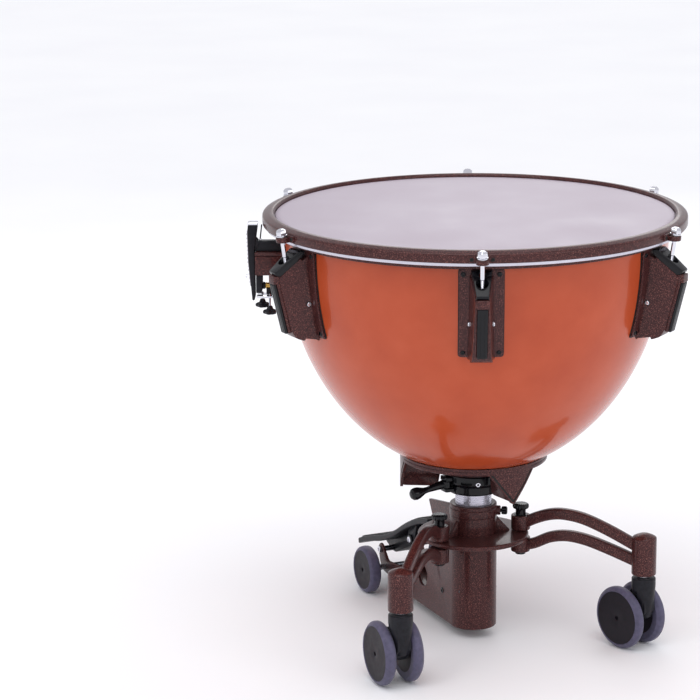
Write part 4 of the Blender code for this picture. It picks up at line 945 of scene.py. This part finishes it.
def make_casters():
    trail, axle = CASTER_TRAIL, joint_at("caster_wheel_right_outer_roll").z
    radius = axle
    swept = radius + 0.001

    def front(height):
        drop = height - axle
        return trail - sqrt(max(0.0, swept**2 - drop * drop)) if abs(drop) < swept else 1.0

    rings = []
    for height, back, ahead, wide in ((0.06, -0.015, 0.012, 0.012), (0.064, -0.0168, 0.013, 0.0132),
            (0.076, -0.0182, 0.015, 0.0156), (0.088, -0.0192, 0.017, 0.0174),
            (0.098, -0.02, 0.019, 0.0188), (0.106, -0.0203, 0.02, 0.0194),
            (0.114, -0.0205, 0.0205, 0.0205), (0.126, -0.0205, 0.0205, 0.0205),
            (0.1275, -0.0198, 0.0198, 0.0198), (0.128, -0.0188, 0.0188, 0.0188)):
        middle, long, ring = (back + ahead) / 2, (ahead - back) / 2, []
        for step in range(64):
            angle = 2 * pi * step / 64
            x, y = middle + long * cos(angle), wide * sin(angle)
            limit = 0.0138 if x > front(height) - 0.0012 else wide
            ring.append((x, max(-limit, min(limit, y)), height))
        rings.append(ring)
    fork = loft("fork", rings, BLACK)
    body = eased("body", [(-0.015, 0.11), (-0.016, 0.07), (-0.006, 0.056), (0.008, 0.045), (0.03, 0.04),
        (0.042, 0.046), (0.046, 0.06), (0.058, 0.064), (0.059, 0.078), (0.048, 0.09), (0.02, 0.102),
        (0.015, 0.112)], 0.003, -0.0122, 0.0122, "Y", BLACK, 0.0012)
    stem = rod("stem", (0, 0, 0.12), (0, 0, 0.192), 0.008, BLACK, 32)
    axle_bar = rod("axle", (trail, -0.029, axle), (trail, 0.029, axle), 0.0058, BLACK, 24)
    joined(fork, body, stem, axle_bar)
    notch = prism("notch", [(0.05, 0.045), (0.07, 0.045), (0.07, 0.095), (0.05, 0.085)], -0.0046, 0.0046,
        "Y")
    x, z = BRAKE_PIN
    pin_hole = rod("pin_hole", (x, -0.02, z), (x, 0.02, z), 0.003)
    cut(fork, notch, pin_hole)
    copies(fork, SWIVELS, "caster_yoke_#", "caster_#", "caster_fork_#")
    race = disc("race", 0.0088, 0.0112, 0.1283, 0.1342, CHROME, 0.0008, 64)
    copies(race, SWIVELS, "caster_race_#", "caster_#")
    tab = eased("tab", [(0.052, 0.0745), (0.0575, 0.0755), (0.08, 0.063), (0.0925, 0.058),
        (0.0925, 0.054), (0.078, 0.053), (0.052, 0.066)], 0.002, -0.004, 0.004, "Y", BLACK, 0.001)
    joined(tab, rod("pin", (x, -0.009, z), (x, 0.009, z), 0.0025, BLACK, 16))
    copies(tab, SWIVELS, "caster_tab_#", "caster_brake_#", "caster_brake_#")

    tyre, hub = make_wheel("caster", radius, 0.0148, 0.0345, 0.86 * radius)
    slot = prism("slot", [(-0.0009, -0.003), (0.0009, -0.003), (0.0009, 0.003), (-0.0009, 0.003)], 0.03,
        0.04, "Z")
    cut(hub, slot)
    onto_y = {"outer": turned(-90, "X"), "inner": turned(90, "X")}
    places = {f"{name}_{which}": SWIVELS[name] @ shifted((trail, 0, axle)) @ onto_y[which]
        for name in HANDS for which in onto_y}
    copies(tyre, places, "caster_tyre_#", "caster_wheel_#", "caster_wheel_#")
    copies(hub, places, "caster_hub_#", "caster_wheel_#")


def make_transport_wheels():
    axle = joint_at("transport_wheel_left_roll")
    tyre, hub = make_wheel("transport", axle.z, 0.064, 0.086, 0.84 * axle.z)
    onto_x = {"left": turned(90, "Y"), "right": turned(-90, "Y")}
    places = {name: shifted((0, axle.y, axle.z)) @ onto_x[name] for name in HANDS}
    copies(tyre, places, "transport_tyre_#", "transport_wheel_#", "transport_wheel_#")
    copies(hub, places, "transport_hub_#", "transport_wheel_#")


# ---- The scene ----
def make_floor():
    low = CAD_BOX[0][2]
    floor = solid("floor", [(-40, -40, low), (40, -40, low), (40, 40, low), (-40, 40, low)],
        [(0, 1, 2, 3)], FLOOR)


make_floor()
make_kettle()
make_rods()
make_casings()
make_gauge()
make_cradle()
make_clamp()
make_pillar()
make_base()
make_pedal()
make_legs()
make_casters()
make_transport_wheels()
for node in ["spider", "pull_shaft", "pull_lever"] + [f"{part}_{n}" for part in ("rocker", "pull_rod")
        for n in STATIONS]:
    carried = bpy.data.objects[node]
    carried.data.materials.clear()
    carried.data.materials.append(STEEL)
